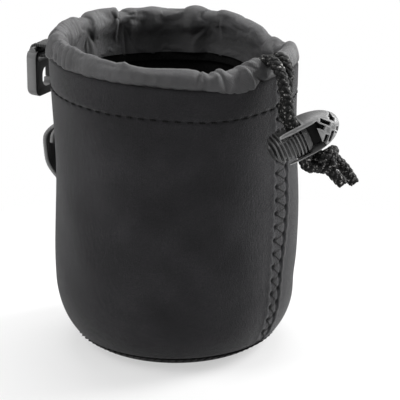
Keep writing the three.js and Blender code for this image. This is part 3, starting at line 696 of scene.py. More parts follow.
COLLAR_SECTION = [0, EDGE_HEIGHT] + np.array([  # radius, height from the wall's edge
    [38.6, 0.1], [39.9, 0.2], [40.7, 1.2], [40.75, 2.8], [40.3, 4.4], [39.4, 5.6], [38.4, 5.95], [37.3, 5.7],
    [36.2, 4.8], [35.4, 3.4], [34.95, 1.7], [35.0, -0.2], [35.5, -2.6], [35.75, -5.5], [35.75, -8.8],
    [35.75, -11.8],
])
LIP_REACH = math.radians(15)
LIP_RUN = 0.55
CROWDED = 206  # heading in degrees of the cloth crowded by the hook
PLEATED = 224  # of its tightest pleats
FRONT_MOUTH = -30  # of the casing's front mouth
SMOOTHED = -78  # of the cloth drawn smooth in front
FOLDED = -100  # of the sharp fold along the top
PLAIN_FULLNESS = 1.055
CROWDING = 0.24
COLLAR_STEPS = 64
TUBE_STEPS = 58
COLLAR_COLUMNS = 620
CLOTH_THICKNESS = 0.3
HEM_HEIGHT = EDGE_HEIGHT - 8.9
SECTION_UNIT = 33.6  # the shares of the section below are of this length
SLANT_FROM = 0.3  # share of the section about which folds slant
CREASES = [  # heading in degrees, half width in mm, height, slant over the section, centre and reach along it
    (154, 1.5, 1.3, 0.03, 0.4, 0.2),
    (150.5, 0.9, -1.2, -0.06, 0.45, 0.25),
    (172, 1.8, 0.6, 0.05, 0.4, 0.3),
    (-86, 2.0, 0.7, 0.03, 0.34, 0.12),
    (-43, 2.6, -1.0, 0.02, 0.36, 0.14),
    (-38, 1.8, 0.6, -0.2, 0.3, 0.18),
    (-33.5, 1.3, -1.2, -0.35, 0.26, 0.2),
    (-29.5, 1.2, 1.0, -0.5, 0.26, 0.22),
    (-26, 0.9, -1.4, -0.6, 0.22, 0.22),
    (-22.5, 1.2, 1.3, -0.65, 0.24, 0.24),
    (-110, 3.0, -0.35, 0.06, 0.3, 0.3),
    (60, 2.4, 0.8, 0.04, 0.4, 0.3),
    (84, 2.0, -0.7, 0.03, 0.4, 0.3),
    (112, 2.4, 0.6, -0.04, 0.4, 0.3),
    (35, 2.0, -0.6, 0.05, 0.4, 0.3),
]
PRESSED = [  # sharper folds, as above, pressed into the settled cloth
    (-83, 0.9, 0.5, 0.1, 0.3, 0.07),
    (-47.5, 0.8, -0.6, 0.23, 0.2, 0.14),
    (-46, 0.9, 0.45, 0.23, 0.24, 0.12),
    (-42.6, 0.9, 0.4, -0.35, 0.24, 0.12),
    (-41, 0.8, -0.7, -0.35, 0.2, 0.14),
    (-30, 0.9, 0.5, -0.5, 0.24, 0.12),
    (-28, 0.8, -0.8, -0.5, 0.2, 0.12),
    (-25, 1.0, 0.7, -0.6, 0.26, 0.14),
    (-22.3, 0.8, -1.0, -0.6, 0.24, 0.16),
    (-19.5, 1.0, 0.6, -0.6, 0.26, 0.14),
    (94, 0.9, 0.4, 0.0, 0.42, 0.12),
    (96, 0.8, -0.6, 0.0, 0.42, 0.12),
    (152.4, 0.8, -0.9, 0.08, 0.44, 0.16),
]
EDGE_DIPS = [  # heading of the lowest point in degrees, reach to the left and the right, depth
    (-87.5, 13, 4.2, 1.4),
    (-43.6, 4.6, 4.6, 1.3),
    (96, 8, 1.6, -0.5),
    (153.8, 1.8, 14, -1.0),
]
EDGE_SAGS = [  # heading in degrees, spread, depth
    (-70, 15, 1.5),
    (-31, 5.5, 2.2),
]


def fullness(heading):
    """Length of cloth for each length of mouth: crowded by the hook, nearly smooth elsewhere."""
    left = bump(degrees_past(heading, CROWDED), 22)
    right = bump(degrees_past(heading, FRONT_MOUTH), 16)
    return PLAIN_FULLNESS + CROWDING * left + 0.08 * right


CASING_SPAN = TURN - (CASING_REAR - CASING_FRONT)


def collar_headings():
    """Headings along the casing, closer together where the cloth is crowded."""
    plain = CASING_REAR + np.linspace(0, CASING_SPAN, 2000)
    dense = np.cumsum(1 + 6 * (fullness(plain) - PLAIN_FULLNESS))
    return np.interp(np.linspace(dense[0], dense[-1], COLLAR_COLUMNS), dense, plain)


def crease_stand(creases, heading, share):
    total = 0
    for degrees, wide, high, slant, centre, reach in creases:
        across = wrapped(heading - math.radians(degrees) - slant * (share - SLANT_FROM)) * CASING_RING
        total = total + high * np.exp(-((np.abs(across) / wide) ** 1.4)) * bump(share - centre, reach)
    return total * ease(share, 0.0, 0.06)


def first_gathers(heading, share):
    """Uneven ripples that the cloth starts from: fine by the hook, broad elsewhere; settling deepens them."""
    ripple = 0
    crowd = (fullness(heading) - PLAIN_FULLNESS) / CROWDING
    smooth = 1 - 0.92 * bump(degrees_past(heading, SMOOTHED), 46)
    for count, high in ((13, 0.3), (19, 0.26), (29, 0.16), (71, 0.07), (97, 0.07), (131, 0.05)):
        phase = RNG.uniform(0, TURN)
        slant = RNG.uniform(-0.12, 0.12)
        near = crowd + 0.06 if count > 50 else smooth
        ripple = ripple + high * near * np.sin(count * (heading - slant * (share - SLANT_FROM)) + phase)
    return ripple


def pressed_in(heading, share, top):
    """How far the sewing's small forms stand out and rise: tight pleats by the hook, scallops over the
    seam, a sharp fold on top, dips along the edge."""
    turn = heading + 0.012 * np.sin(31 * heading) + 0.16 * (share - SLANT_FROM)
    crowd = bump(degrees_past(heading, PLEATED), 19)
    pleats = np.abs(np.sin(29 * turn + 1.1 * np.sin(9 * heading))) ** 0.55 - 0.75
    stand = 2.2 * crowd * pleats * ease(share, 0.02, 0.09) * (1 - ease(share, 0.42, 0.6))
    scallops = np.abs(np.sin(27 * heading + 0.8 * np.sin(5 * heading))) ** 0.7 - 0.4
    uneven = 0.7 + 0.3 * np.sin(11 * heading + 1.3 * np.sin(4 * heading))
    front = bump(degrees_past(heading, FOLDED), 75)
    stand = stand + 0.85 * front * uneven * bump(share - top, 0.02)
    droop = 0.9 * scallops * bump(share - 0.1, 0.06)
    upper = ease(share, 0.12, 0.28) * (1 - ease(share, 0.42, 0.62))
    for degrees, left, right, depth in EDGE_DIPS:
        past = degrees_past(heading, degrees)
        dip = np.maximum(0, 1 - np.where(past < 0, -past / left, past / right)) ** 0.8
        droop = droop + depth * dip * upper
    for degrees, spread, depth in EDGE_SAGS:
        droop = droop + depth * bump(degrees_past(heading, degrees), spread) * upper
    overhang = bump(degrees_past(heading, FRONT_MOUTH), 11) * bump(share - 0.08, 0.06)
    return stand + 0.7 * overhang, -droop - 2.4 * overhang


CLOTH_CLEARANCE = 2.35  # from the middle of the cord in the casing to the outside of the cloth


def cord_sag(heading):
    """The hidden cord hangs lower along the front, where the casing's edge dips."""
    degrees = np.degrees(wrapped(heading))
    return 1.3 * ease(degrees, -112, -84) * (1 - ease(degrees, -42, -27))


def clear_of_cord(points):
    """Brings cloth that was pressed into the cord back to its outside."""
    heading = np.arctan2(points[..., 1], points[..., 0])
    ring = CASING_RING + flare(heading, EDGE_HEIGHT)
    middle = CASING_HEIGHT + lean(heading, CASING_HEIGHT) - cord_sag(heading)
    out = np.hypot(points[..., 0], points[..., 1]) - ring
    up = points[..., 2] - middle
    grow = np.maximum(1, CLOTH_CLEARANCE / np.maximum(np.hypot(out, up), 0.1))
    return about_axis(ring + out * grow, heading, middle + up * grow)


def collar_points(headings, section, normal, stand):
    radius, level = (section[None, :, k] + stand * normal[None, :, k] for k in (0, 1))
    h = np.broadcast_to(headings, radius.shape)
    return about_axis(radius + flare(h, EDGE_HEIGHT), h, level + lean(h, level))


SIM_SCALE = 25.0
SIM_FRAMES = 36
SIM_SETTINGS = {
    "vertex_group_mass": "held",
    "quality": 7,
    "mass": 0.12,
    "tension_stiffness": 12,
    "compression_stiffness": 12,
    "shear_stiffness": 4,
    "bending_stiffness": 0.12,
    "air_damping": 2.5,
    "use_pressure": True,
    "uniform_pressure_force": 0.22,
}


def gather(points, flat):
    """Lets cloth that is cut to its flat size settle round the cord, sewn along both long edges."""
    index = np.arange(points[..., 0].size).reshape(points.shape[:2])
    corners = (index[:-1, :-1], index[:-1, 1:], index[1:, 1:], index[1:, :-1])
    faces = np.stack([corner.ravel() for corner in corners], axis=1)
    cloth = make_object("gathering", points.reshape(-1, 3) * SIM_SCALE, faces.tolist())
    cloth.shape_key_add(name="sewn")
    cut = cloth.shape_key_add(name="cut")
    cut.data.foreach_set("co", (flat * MM * SIM_SCALE).ravel())
    held = cloth.vertex_groups.new(name="held")
    for edge in (index[:, :2], index[:, -2:], index[0], index[-1]):
        held.add(edge.ravel().tolist(), 1.0, "REPLACE")
    settle = cloth.modifiers.new("settle", "CLOTH")
    for key, value in SIM_SETTINGS.items():
        setattr(settle.settings, key, value)
    settle.settings.rest_shape_key = cut
    settle.settings.effector_weights.gravity = 0
    settle.collision_settings.use_collision = True
    settle.collision_settings.distance_min = 0.2 * MM * SIM_SCALE
    settle.collision_settings.use_self_collision = False
    settle.point_cache.frame_start = 1
    settle.point_cache.frame_end = SIM_FRAMES
    cord = cord_in_casing("cord_stop", SIM_SCALE)
    cord.modifiers.new("stop", "COLLISION")
    cord.collision.thickness_outer = 0.1 * MM * SIM_SCALE
    scene = bpy.context.scene
    for number in range(1, SIM_FRAMES + 1):
        scene.frame_set(number)
    settled = cloth.evaluated_get(bpy.context.evaluated_depsgraph_get()).data
    place = np.empty(points.size)
    settled.vertices.foreach_get("co", place)
    scene.frame_set(1)
    for obj in (cloth, cord):
        bpy.data.objects.remove(obj)
    return place.reshape(points.shape) / (MM * SIM_SCALE)


def collar():
    section = smooth_path(COLLAR_SECTION, COLLAR_STEPS)
    length = path_length(section)
    share = np.linspace(0, length / SECTION_UNIT, COLLAR_STEPS)
    along = np.gradient(section, axis=0)
    normal = unit(np.stack([along[:, 1], -along[:, 0]], axis=1))
    headings = collar_headings()
    ends = (np.minimum(headings - headings[0], headings[-1] - headings) * CASING_RING)[:, None]
    up = share[None, :TUBE_STEPS]
    # The front end is cut at a slant, so that its lower edge runs on below the cord.
    near_end = ease(headings, headings[-1] - LIP_RUN, headings[-1])
    lip = near_end[:, None] * (LIP_REACH * (1 - ease(up, 0.1, 0.44)))
    slanted = headings[:, None] + lip
    stand = crease_stand(CREASES, slanted, up) + first_gathers(slanted, up) * ease(up, 0.0, 0.05)
    stand = stand * ease(ends, 0.0, 2.0)
    points = collar_points(slanted, section[:TUBE_STEPS], normal[:TUBE_STEPS], stand)
    full = fullness(headings)
    cut = np.concatenate([[0], np.cumsum((full[1:] + full[:-1]) / 2 * np.diff(headings) * CASING_RING)])
    flat = np.zeros_like(points)
    flat[..., 0] = cut[:, None] + lip * CASING_RING * full[-1]
    flat[..., 1] = up * SECTION_UNIT
    points = gather(points, flat)
    ridge = share[np.argmax(section[:, 1])]
    stand, rise = (part * ease(ends, 0.5, 4.0) for part in pressed_in(slanted, up, ridge))
    stand = stand + crease_stand(PRESSED, slanted, up) * ease(ends, 0.2, 1.5)
    out = stand * normal[None, :TUBE_STEPS, 0]
    rise = stand * normal[None, :TUBE_STEPS, 1] + rise
    build = Build()
    build.grid(clear_of_cord(points + about_axis(out, slanted, rise)), cut, up[0] * SECTION_UNIT, flip=True)
    ring = np.linspace(0, TURN, 360, endpoint=False)
    lower = slice(TUBE_STEPS - 3, COLLAR_STEPS)
    wave = np.minimum(0.8 * first_gathers(ring[:, None], share[None, lower]), 0.1) - 0.25
    skirt = collar_points(ring[:, None], section[lower], normal[lower], wave)
    around = np.append(ring, TURN) * CASING_RING
    build.grid(skirt, around, share[lower] * SECTION_UNIT, wrap_rows=True, flip=True)
    # Between the casing's two mouths a facing goes on down the wall behind the strands.
    gap = np.linspace(CASING_FRONT - 0.12, CASING_REAR + 0.12, 40)
    facing = (share > ridge) & (section[:, 1] < EDGE_HEIGHT - 0.4)
    behind = collar_points(gap[:, None], section[facing], normal[facing], np.full((len(gap), 1), -0.45))
    build.grid(behind, gap * CASING_RING, share[facing] * SECTION_UNIT, flip=True)
    obj = build.make("collar_casing_cloth")
    solidify = obj.modifiers.new("cloth", "SOLIDIFY")
    solidify.thickness = CLOTH_THICKNESS * MM
    solidify.offset = -1
    return apply_modifiers(obj), (float(cut[-1]), float(length))


def below_hem(p):
    return p[:, 2] < HEM_HEIGHT + lean(np.arctan2(p[:, 1], p[:, 0]), HEM_HEIGHT)


# Braided cord

BRAID_STRANDS = 4
BRAID_LAY = 8.4
BRAID_STEP = 0.22
BRAID_DEPTH = 0.27  # how far a strand moves in and out as it passes under and over
STRAND_SECTION = circle(1, 10) * [0.8, 0.42]
CORE_SECTION = circle(1.2, 10)


def braid(build, line, closed=False):
    """Two sets of flat strands wound opposite ways, each passing over and under the other."""
    _, normal, binormal = path_frames(line, closed)
    along = distances(line)
    lay = BRAID_LAY
    if closed:
        total = along[-1] + np.linalg.norm(line[0] - line[-1])
        lay = total / max(1, round(total / BRAID_LAY))
    weave = BRAID_DEPTH * np.cos(TURN * BRAID_STRANDS * along / lay)
    for way in (1, -1):
        radius = CORD_RADIUS - 0.5 + way * weave
        for k in range(BRAID_STRANDS):
            turn = way * TURN * along / lay + TURN * k / BRAID_STRANDS
            out = np.cos(turn)[:, None] * normal + np.sin(turn)[:, None] * binormal
            centre = line + radius[:, None] * out
            run = unit(np.gradient(centre, axis=0))
            flat = unit(np.cross(run, out))
            ring = np.stack([centre + a * flat + b * out for a, b in STRAND_SECTION], axis=1)
            inside_out = float(np.mean(np.sum(np.cross(run, flat) * out, axis=1))) < 0
            build.grid(ring, along, np.linspace(0, 1, 11), wrap_columns=True, flip=inside_out)


def cut_tip(build, line):
    """The melted tip of a cut end: a low rough dome past the last braid crossing."""
    reach = np.array([-0.6, 0.0, 0.3, 0.5])
    size = np.array([1.5, 1.72, 1.45, 0.7])
    sides = 14
    rough = 1 + 0.09 * np.sin(np.arange(sides) * 2.4)
    section = circle(1, sides)[None] * size[:, None, None] * rough[None, :, None]
    build.tube(line[-1] + reach[:, None] * unit(line[-1] - line[-2]), section)


def cord_piece(name, line, tip=False):
    build = Build()
    build.tube(line, CORE_SECTION)
    braid(build, line)
    if tip:
        cut_tip(build, line)
    return build.make(name)


def spaced(points):
    return smooth_path(points, max(8, int(path_length(smooth_path(points, 400)) / BRAID_STEP)))


# Cord lock's own frame: X from the button to the dome, Y up along the strands, Z to the front

LOCK_AXIS = unit(np.array([0.626, 0.676, 0.381]))
LOCK_UP = -np.array([0.248, 0.291, -0.927])
LOCK_UP = unit(LOCK_UP - LOCK_AXIS * np.dot(LOCK_UP, LOCK_AXIS))
LOCK_FRONT = np.cross(LOCK_AXIS, LOCK_UP)
LOCK_CENTRE = np.array([EDGE_RADIUS + 11.4, -9.3, EDGE_HEIGHT - 17.6])
STRAND_OFFSET = -2.3
STRAND_SIDE = 1.95


def in_lock(points):
    points = np.atleast_2d(np.asarray(points, float))
    return LOCK_CENTRE + points @ np.stack([LOCK_AXIS, LOCK_UP, LOCK_FRONT])


def on_ring(heading):
    rise = CASING_HEIGHT + float(lean(np.array(heading), np.array(CASING_HEIGHT)))
    radius = CASING_RING + float(flare(np.array(heading), np.array(EDGE_HEIGHT)))
    return np.array([radius * math.cos(heading), radius * math.sin(heading), rise])


MOUTH_STEP = CORD_RADIUS / CASING_RING


def strand_route(mouth, side, turns):
    """From the casing's mouth, over turns that are measured from the wall's edge at +X, through the lock."""
    start = [on_ring(mouth + side * steps * MOUTH_STEP) for steps in (-2, 0, 1)]
    over = np.array(turns) + [EDGE_RADIUS, 0, EDGE_HEIGHT]
    straight = in_lock([[STRAND_OFFSET, y, side * STRAND_SIDE] for y in (10.05, 5.0, 0.0, -3.0, -7.4)])
    return np.vstack([start, over, straight])


FRONT_TURNS = [
    [-3.3, -9.6, 4.3], [-1.2, -8.8, 4.9], [1.3, -9.7, 4.3],
    [4.2, -11.5, 2.0], [6.5, -13.3, -2.0], [8.1, -14.0, -6.0],
]
REAR_TURNS = [
    [-2.2, -3.4, 3.7], [-0.2, -4.4, 4.8], [2.2, -5.4, 4.2],
    [4.3, -6.9, 1.8], [5.3, -9.2, -2.4], [5.9, -10.7, -6.5],
]
TAIL_FRONT = in_lock([[2.4, -10.4, 1.2], [3.2, -13.4, 1.9], [4.2, -16.4, 2.2], [5.3, -19.6, 2.35]])
TAIL_REAR = in_lock([[5.0, -10.2, -1.2], [7.2, -13.6, -1.8], [8.7, -17.8, -1.6], [9.6, -23.0, -1.3]])


def knot():
    """An overhand knot drawn tight: three lobes of cord that pass over and under each other."""
    t = np.linspace(0, TURN, 400, endpoint=False)
    x = 1.85 * (np.sin(t) + 2 * np.sin(2 * t))
    y = 0.98 * (np.cos(t) - 2 * np.cos(2 * t))
    z = -2.2 * np.sin(3 * t)
    ring = in_lock(np.stack([x + 2.0, y - 10.1 - 0.14 * x, z + 0.3], axis=1))
    loop = evenly(np.vstack([ring, ring[:1]]), 280)[:-1]
    along = np.linspace(0, path_length(loop), len(loop))
    build = Build()
    build.grid(swept(loop, CORE_SECTION, True), along, np.linspace(0, 1, 11), wrap_columns=True, flip=True)
    braid(build, loop, closed=True)
    return build.make("stopper_knot_cord")


def cord_in_casing(name, scale=1.0):
    headings = CASING_REAR + 2 * MOUTH_STEP + np.linspace(0, CASING_SPAN - 4 * MOUTH_STEP, 260)
    line = np.array([on_ring(h) for h in headings])
    line[:, 2] -= cord_sag(headings)
    build = Build()
    build.tube(line * scale, circle(CORD_RADIUS * scale, 16))
    return build.make(name)


# Solids cut from simple forms, with rounded edges

LOCK_FAR = 9  # past the lock's sides


def outline_solid(points, low, high, name="form"):
    """A prism over a closed outline of [x, y] pairs, from low to high along z."""
    count = len(points)
    ends = [np.column_stack([points, np.full(count, level)]) for level in (low, high)]
    sides = [[i, (i + 1) % count, count + (i + 1) % count, count + i] for i in range(count)]
    faces = [list(range(count))[::-1], list(range(count, 2 * count)), *sides]
    return make_object(name, np.vstack(ends), faces)


def combine(obj, other, operation):
    step = obj.modifiers.new("combine", "BOOLEAN")
    step.operation = operation
    step.object = other
    step.solver = "EXACT"
    apply_modifiers(obj)
    bpy.data.objects.remove(other)


def cut_box(obj, start, end, half_y=LOCK_FAR, half_z=LOCK_FAR):
    """Takes away a box about the x axis."""
    outline = [[start, -half_y], [end, -half_y], [end, half_y], [start, half_y]]
    combine(obj, outline_solid(outline, -half_z, half_z), "DIFFERENCE")


def rounded_rectangle(half_x, half_y, corner):
    points = []
    for x, y, start in ((1, -1, -0.5), (1, 1, 0), (-1, 1, 0.5), (-1, -1, 1)):
        middle = np.array([x * (half_x - corner), y * (half_y - corner)])
        for turn in np.linspace(start * math.pi, (start + 0.5) * math.pi, 6):
            points.append(middle + corner * np.array([math.cos(turn), math.sin(turn)]))
    return np.array(points)


def round_edges(obj, width, segments=3):
    step = obj.modifiers.new("round", "BEVEL")
    step.width = width * MM
    step.segments = segments
    step.limit_method = "ANGLE"
    step.angle_limit = math.radians(40)
    step.use_clamp_overlap = True
    step.harden_normals = False
    apply_modifiers(obj)
    obj.data.shade_smooth()
    obj.data.set_sharp_from_angle(angle=math.radians(38))


def turned(obj, axis):
    obj.data.transform(Matrix.Rotation(math.pi / 2, 4, axis))
    return obj


def to_lock(obj):
    axes = np.stack([LOCK_AXIS, LOCK_UP, LOCK_FRONT]).T.tolist()
    basis = Matrix([[*row, 0] for row in axes] + [[0, 0, 0, 1]])
    obj.data.transform(Matrix.Translation(Vector(LOCK_CENTRE * MM)) @ basis)
    return obj


LOCK_BACK = -12  # past its open end
COIL_RADIUS = 2.2
COIL_WIRE = 0.22
COIL_TURNS = 6
POCKET_END = 10.3
HOLE_HALF = 3.85
HOLE_END = -0.15
BUTTON_HOLE = (-7.9, -0.2)
SPRING_SEAT = 2.1
SLOT_DEPTH = 0.9
RIB_DEPTH = 0.8
RAIL_INSIDE = 4.5
RAIL_END = -8.7
DOME_START = 3.65
CHEVRONS = [(7.1, 0.75), (9.4, 0.6), (11.5, 0.52)]  # where each pair of slots would meet, half width
POCKET = (DOME_START - 1, POCKET_END, 3.6, 3.2)
BODY_STATIONS = np.array([  # along the lock's axis: place, half width, half depth, squareness
    [-9.8, 5.4, 5.5, 3.6], [-6.0, 5.7, 5.95, 3.6], [-2.0, 5.75, 6.1, 3.6], [2.0, 5.7, 6.1, 3.4],
    [5.0, 5.45, 5.8, 3.0], [7.4, 4.95, 5.2, 2.6], [9.3, 4.15, 4.3, 2.3], [10.8, 3.0, 3.1, 2.1],
    [11.6, 1.95, 2.0, 2.0], [11.95, 0.9, 0.9, 2.0],
])
PAD_STATIONS = np.array([
    [-11.95, 1.2, 1.5, 2.4], [-11.75, 2.1, 2.7, 2.5], [-11.1, 3.2, 3.95, 2.7], [-9.9, 4.0, 4.95, 2.9],
    [-7.8, 4.3, 5.7, 3.0], [-5.0, 4.35, 6.1, 3.0], [-2.0, 4.35, 6.0, 3.0], [-0.6, 4.25, 5.6, 3.0],
    [0.2, 4.05, 5.25, 3.0], [0.7, 3.7, 4.9, 3.0], [0.9, 3.2, 4.4, 3.0],
])
PAD_RIBS = -11.1 + 1.2 * np.arange(9)  # middles of the grooves between the ribs
LOFT_SIDES = 72


def loft(name, stations, shrink=0.0):
    """A smooth solid through rounded sections along x: half width, half depth and squareness of each."""
    steps = smooth_path(stations, 46)
    turn = np.linspace(0, TURN, LOFT_SIDES, endpoint=False)
    power = 2 / steps[:, 3:]
    half_width, half_depth = (np.maximum(steps[:, k : k + 1] - shrink, 0.15) for k in (1, 2))
    y = half_width * (np.sign(np.cos(turn)) * np.abs(np.cos(turn)) ** power)
    z = half_depth * (np.sign(np.sin(turn)) * np.abs(np.sin(turn)) ** power)
    middle = 0.5 * (stations[0, 0] + stations[-1, 0])
    reach = stations[-1, 0] - middle
    x = middle + (steps[:, :1] - middle) * (reach - shrink) / reach
    index = np.arange(y.size).reshape(y.shape)
    after = np.roll(index, -1, axis=1)
    sides = np.stack([index[:-1], after[:-1], after[1:], index[1:]], axis=-1).reshape(-1, 4)
    faces = [*sides.tolist(), index[0][::-1].tolist(), index[-1].tolist()]
    return make_object(name, np.stack([np.broadcast_to(x, y.shape), y, z], axis=-1).reshape(-1, 3), faces)


def lock_shell():
    """The cord lock's body: slim curved rails beside the button and a domed end with slanting slots."""
    shell = loft("lock_shell", BODY_STATIONS)
    for side in (0, math.pi):
        for x, half in CHEVRONS:
            length = min(5.3, 1.3 * (13.2 - x) + 1.6)
            outline = [[-half, 1.6], [half, 1.6], [half, length], [-half, length]]
            slot = outline_solid(outline, -LOCK_FAR, LOCK_FAR)
            slant = Matrix.Rotation(side, 4, "X") @ Matrix.Rotation(0.76, 4, "Z")
            slot.data.transform(Matrix.Translation((x * MM, 0.35 * MM, 0)) @ slant)
            combine(shell, slot, "DIFFERENCE")
    cut_box(shell, LOCK_BACK, DOME_START, RAIL_INSIDE)
    cut_box(shell, *POCKET)
    cut_box(shell, DOME_START - 1, DOME_START + 1.1, RAIL_INSIDE, 5.4)
    cut_box(shell, LOCK_BACK, HOLE_END, half_z=HOLE_HALF)
    # The open end is cut at a slant: the rails are long in front and short behind.
    back = LOCK_BACK - 1
    slope = [[back, -LOCK_FAR], [-0.2, -LOCK_FAR], [-11, LOCK_FAR], [back, LOCK_FAR]]
    combine(shell, turned(outline_solid(slope, -LOCK_FAR, LOCK_FAR), "X"), "DIFFERENCE")
    cut_box(shell, back, RAIL_END)
    round_edges(shell, 0.16, 2)
    return to_lock(shell)


def lock_shade_core():
    """A near-black core inside the domed end: painted shade that shows through its slots."""
    lining = loft("lock_shade_core", BODY_STATIONS, SLOT_DEPTH)
    cut_box(lining, LOCK_BACK, DOME_START + 1.2)
    cut_box(lining, *POCKET)
    round_edges(lining, 0.1, 1)
    return to_lock(lining)


def lock_pad():
    """The sliding button: a rounded thumb block with ribs and the strand hole."""
    pad = loft("lock_pad", PAD_STATIONS)
    for x in PAD_RIBS:
        cut_box(pad, x - 0.4, x + 0.4)
    combine(pad, loft("core", PAD_STATIONS, RIB_DEPTH), "UNION")
    cut_box(pad, *BUTTON_HOLE, half_z=HOLE_HALF)
    round_edges(pad, 0.14, 2)
    return to_lock(pad)


def lock_tongue():
    """The button's stem: a slim bar with a socket for the spring, seen in the lock's window, where its
    near-black colour is painted shade.
    """
    tongue = outline_solid(rounded_rectangle(2.9, 3.5, 0.5), -0.6, 6.2, "lock_tongue")
    combine(tongue, outline_solid(circle(2.6, 32), SPRING_SEAT, LOCK_FAR), "DIFFERENCE")
    round_edges(tongue, 0.14, 2)
    return to_lock(turned(tongue, "Y"))


def lock_coil():
    t = np.linspace(0, 1, COIL_TURNS * 24)
    x = SPRING_SEAT + 0.55 + (POCKET_END - SPRING_SEAT - 1.1) * t
    angle = t * COIL_TURNS * TURN
    coil = np.stack([x, COIL_RADIUS * np.cos(angle), COIL_RADIUS * np.sin(angle)], axis=1)
    build = Build()
    build.tube(in_lock(coil), circle(COIL_WIRE, 8))
    return build.make("lock_coil")


# Webbing and hook on the -X side

WEB = 1.2
STRAP_TOP = EDGE_HEIGHT - 19.5
STRAP_UPPER = STRAP_TOP - 8.5
STRAP_LOWER = STRAP_UPPER - 20
STRAP_END = STRAP_LOWER - 8.5
STRAP_WALL = -(float(wall_radius(STRAP_UPPER)) + 0.3 + WEB / 2)
STRAP_OUTER = STRAP_WALL - WEB - 0.1
STRAP_FULL = STRAP_WALL - 4.8
STRAP_WIDTH = 20.0
BAR_HEIGHT = EDGE_HEIGHT - 5.8
BAR_X = -(float(wall_radius(BAR_HEIGHT)) + 12)
TAB_TURN = 1.8
TAB_WALL = -42.33
TAB_OUTER = TAB_WALL - WEB - 0.3
TAB_END = BAR_HEIGHT - 9.2
TAB_WIDTH = 7.2
TAB_WEB_THICKNESS = 0.9
RIB_POINTS = 4  # across the webbing, for each of its ribs
RIB_HEIGHT = 0.06
PICK_PITCH = 1.1
PICK_HEIGHT = 0.045
TACK_MARGIN = 1.4
TACK_REACH = 1.15


def fold(cx, cz, radius, start, end, count):
    turn = np.linspace(start, end, count)
    return np.stack([cx + radius * np.cos(turn), cz + radius * np.sin(turn)], axis=1)


def strap_path():
    middle = (STRAP_WALL + STRAP_OUTER) / 2
    end = [[STRAP_WALL - 2.1, STRAP_UPPER - 7], [STRAP_WALL - 1.6, STRAP_UPPER - 3.6]]
    inner = [[STRAP_WALL, STRAP_UPPER], [STRAP_WALL, STRAP_TOP - 3]]
    top = fold(middle, STRAP_TOP, (STRAP_WALL - STRAP_OUTER) / 2, 0, math.pi, 7)
    outer = [[STRAP_OUTER, STRAP_TOP - 3], [STRAP_OUTER, STRAP_UPPER]]
    loop = [
        [STRAP_FULL + 1.4, STRAP_UPPER - 2.4],
        [STRAP_FULL, STRAP_UPPER - 5.6],
        [STRAP_FULL + 0.1, STRAP_UPPER - 9.6],
        [STRAP_FULL + 0.7, STRAP_LOWER + 6.4],
        [STRAP_FULL + 2.4, STRAP_LOWER + 3],
    ]
    foot = [[STRAP_WALL - 0.4, STRAP_LOWER], [STRAP_WALL, STRAP_LOWER - 2.5], [STRAP_WALL, STRAP_END]]
    return np.vstack([end, inner, top, outer, loop, foot])


def tab_path():
    wall = [[TAB_WALL, TAB_END], [TAB_WALL, BAR_HEIGHT - 4], [TAB_WALL, BAR_HEIGHT - 1.5]]
    out = [
        [TAB_WALL - 0.5, BAR_HEIGHT + 0.4],
        [TAB_WALL - 2.2, BAR_HEIGHT + 1.5],
        [(TAB_WALL + BAR_X) / 2, BAR_HEIGHT + TAB_TURN + 0.1],
    ]
    bar = fold(BAR_X, BAR_HEIGHT, TAB_TURN, math.pi / 2, 1.5 * math.pi, 11)
    back = [
        [(TAB_OUTER + BAR_X) / 2, BAR_HEIGHT - 1.2],
        [TAB_OUTER - 2, BAR_HEIGHT - 0.6],
        [TAB_OUTER - 0.3, BAR_HEIGHT - 2.6],
        [TAB_OUTER, BAR_HEIGHT - 4.6],
        [TAB_OUTER, TAB_END],
    ]
    return np.vstack([wall, out, bar, back])


def strap_hug(y, z):
    """How far the strap's sewn ends shift to lie on the round wall; its free loop follows only a little."""
    free = ease(z, STRAP_LOWER - 1, STRAP_LOWER + 5) * ease(STRAP_UPPER + 1 - z, 0, 6)
    heading = math.pi + np.arcsin(-y / WALL_RADIUS)
    surface = wall_radius(z) + wall_relief(heading, z) - 0.1
    return (1 - 0.65 * free) * (-np.sqrt(surface**2 - y**2) - STRAP_WALL - WEB / 2)


def no_hug(y, z):
    return np.zeros(np.broadcast(y, z).shape)


def woven_strip(name, path, width, ribs, web=WEB, hug=no_hug):
    """Webbing along a path of [x, z] pairs: fine ribs along it, thick rolled edges and clean cut ends."""
    line = smooth_path(path, int(path_length(path) / 0.35))
    along = np.gradient(line, axis=0)
    normal = unit(np.stack([-along[:, 1], along[:, 0]], axis=1))
    half = width / 2
    y = np.linspace(-half, half, ribs * RIB_POINTS + 1)
    count = len(y)
    rib = RIB_HEIGHT * np.cos(TURN * np.arange(count) / RIB_POINTS)
    edge = 1 + 0.25 * bump(half - 0.7 - np.abs(y), 0.7)
    thick = (web / 2 - RIB_HEIGHT) * edge + rib * edge
    length = distances(line)
    pick = PICK_HEIGHT * np.cos(TURN * length / PICK_PITCH)
    swap = np.where(np.arange(count) // RIB_POINTS % 2 == 0, 1, -1)
    # Out along one face and back along the other.
    loop_y, stand, weave = (np.concatenate([one, one[::-1]]) for one in (y, thick, swap))
    sign = np.repeat([1.0, -1.0], count)
    offset = sign[None] * (stand[None] + pick[:, None] * weave[None])
    x = line[:, :1] + normal[:, :1] * offset
    z = line[:, 1:] + normal[:, 1:] * offset
    points = np.stack([x + hug(loop_y[None], z), np.broadcast_to(loop_y, x.shape), z], axis=-1)
    points = np.concatenate([points[:1] * [1, 0.985, 1], points, points[-1:] * [1, 0.985, 1]])
    for end in (0, -1):
        flat = 0.5 * (points[end, :count] + points[end, count:][::-1])
        points[end] = np.concatenate([flat, flat[::-1]])
    build = Build()
    build.grid(points, np.pad(length, 1, "edge"), np.append(loop_y, loop_y[0]), wrap_columns=True)
    return build.make(name)


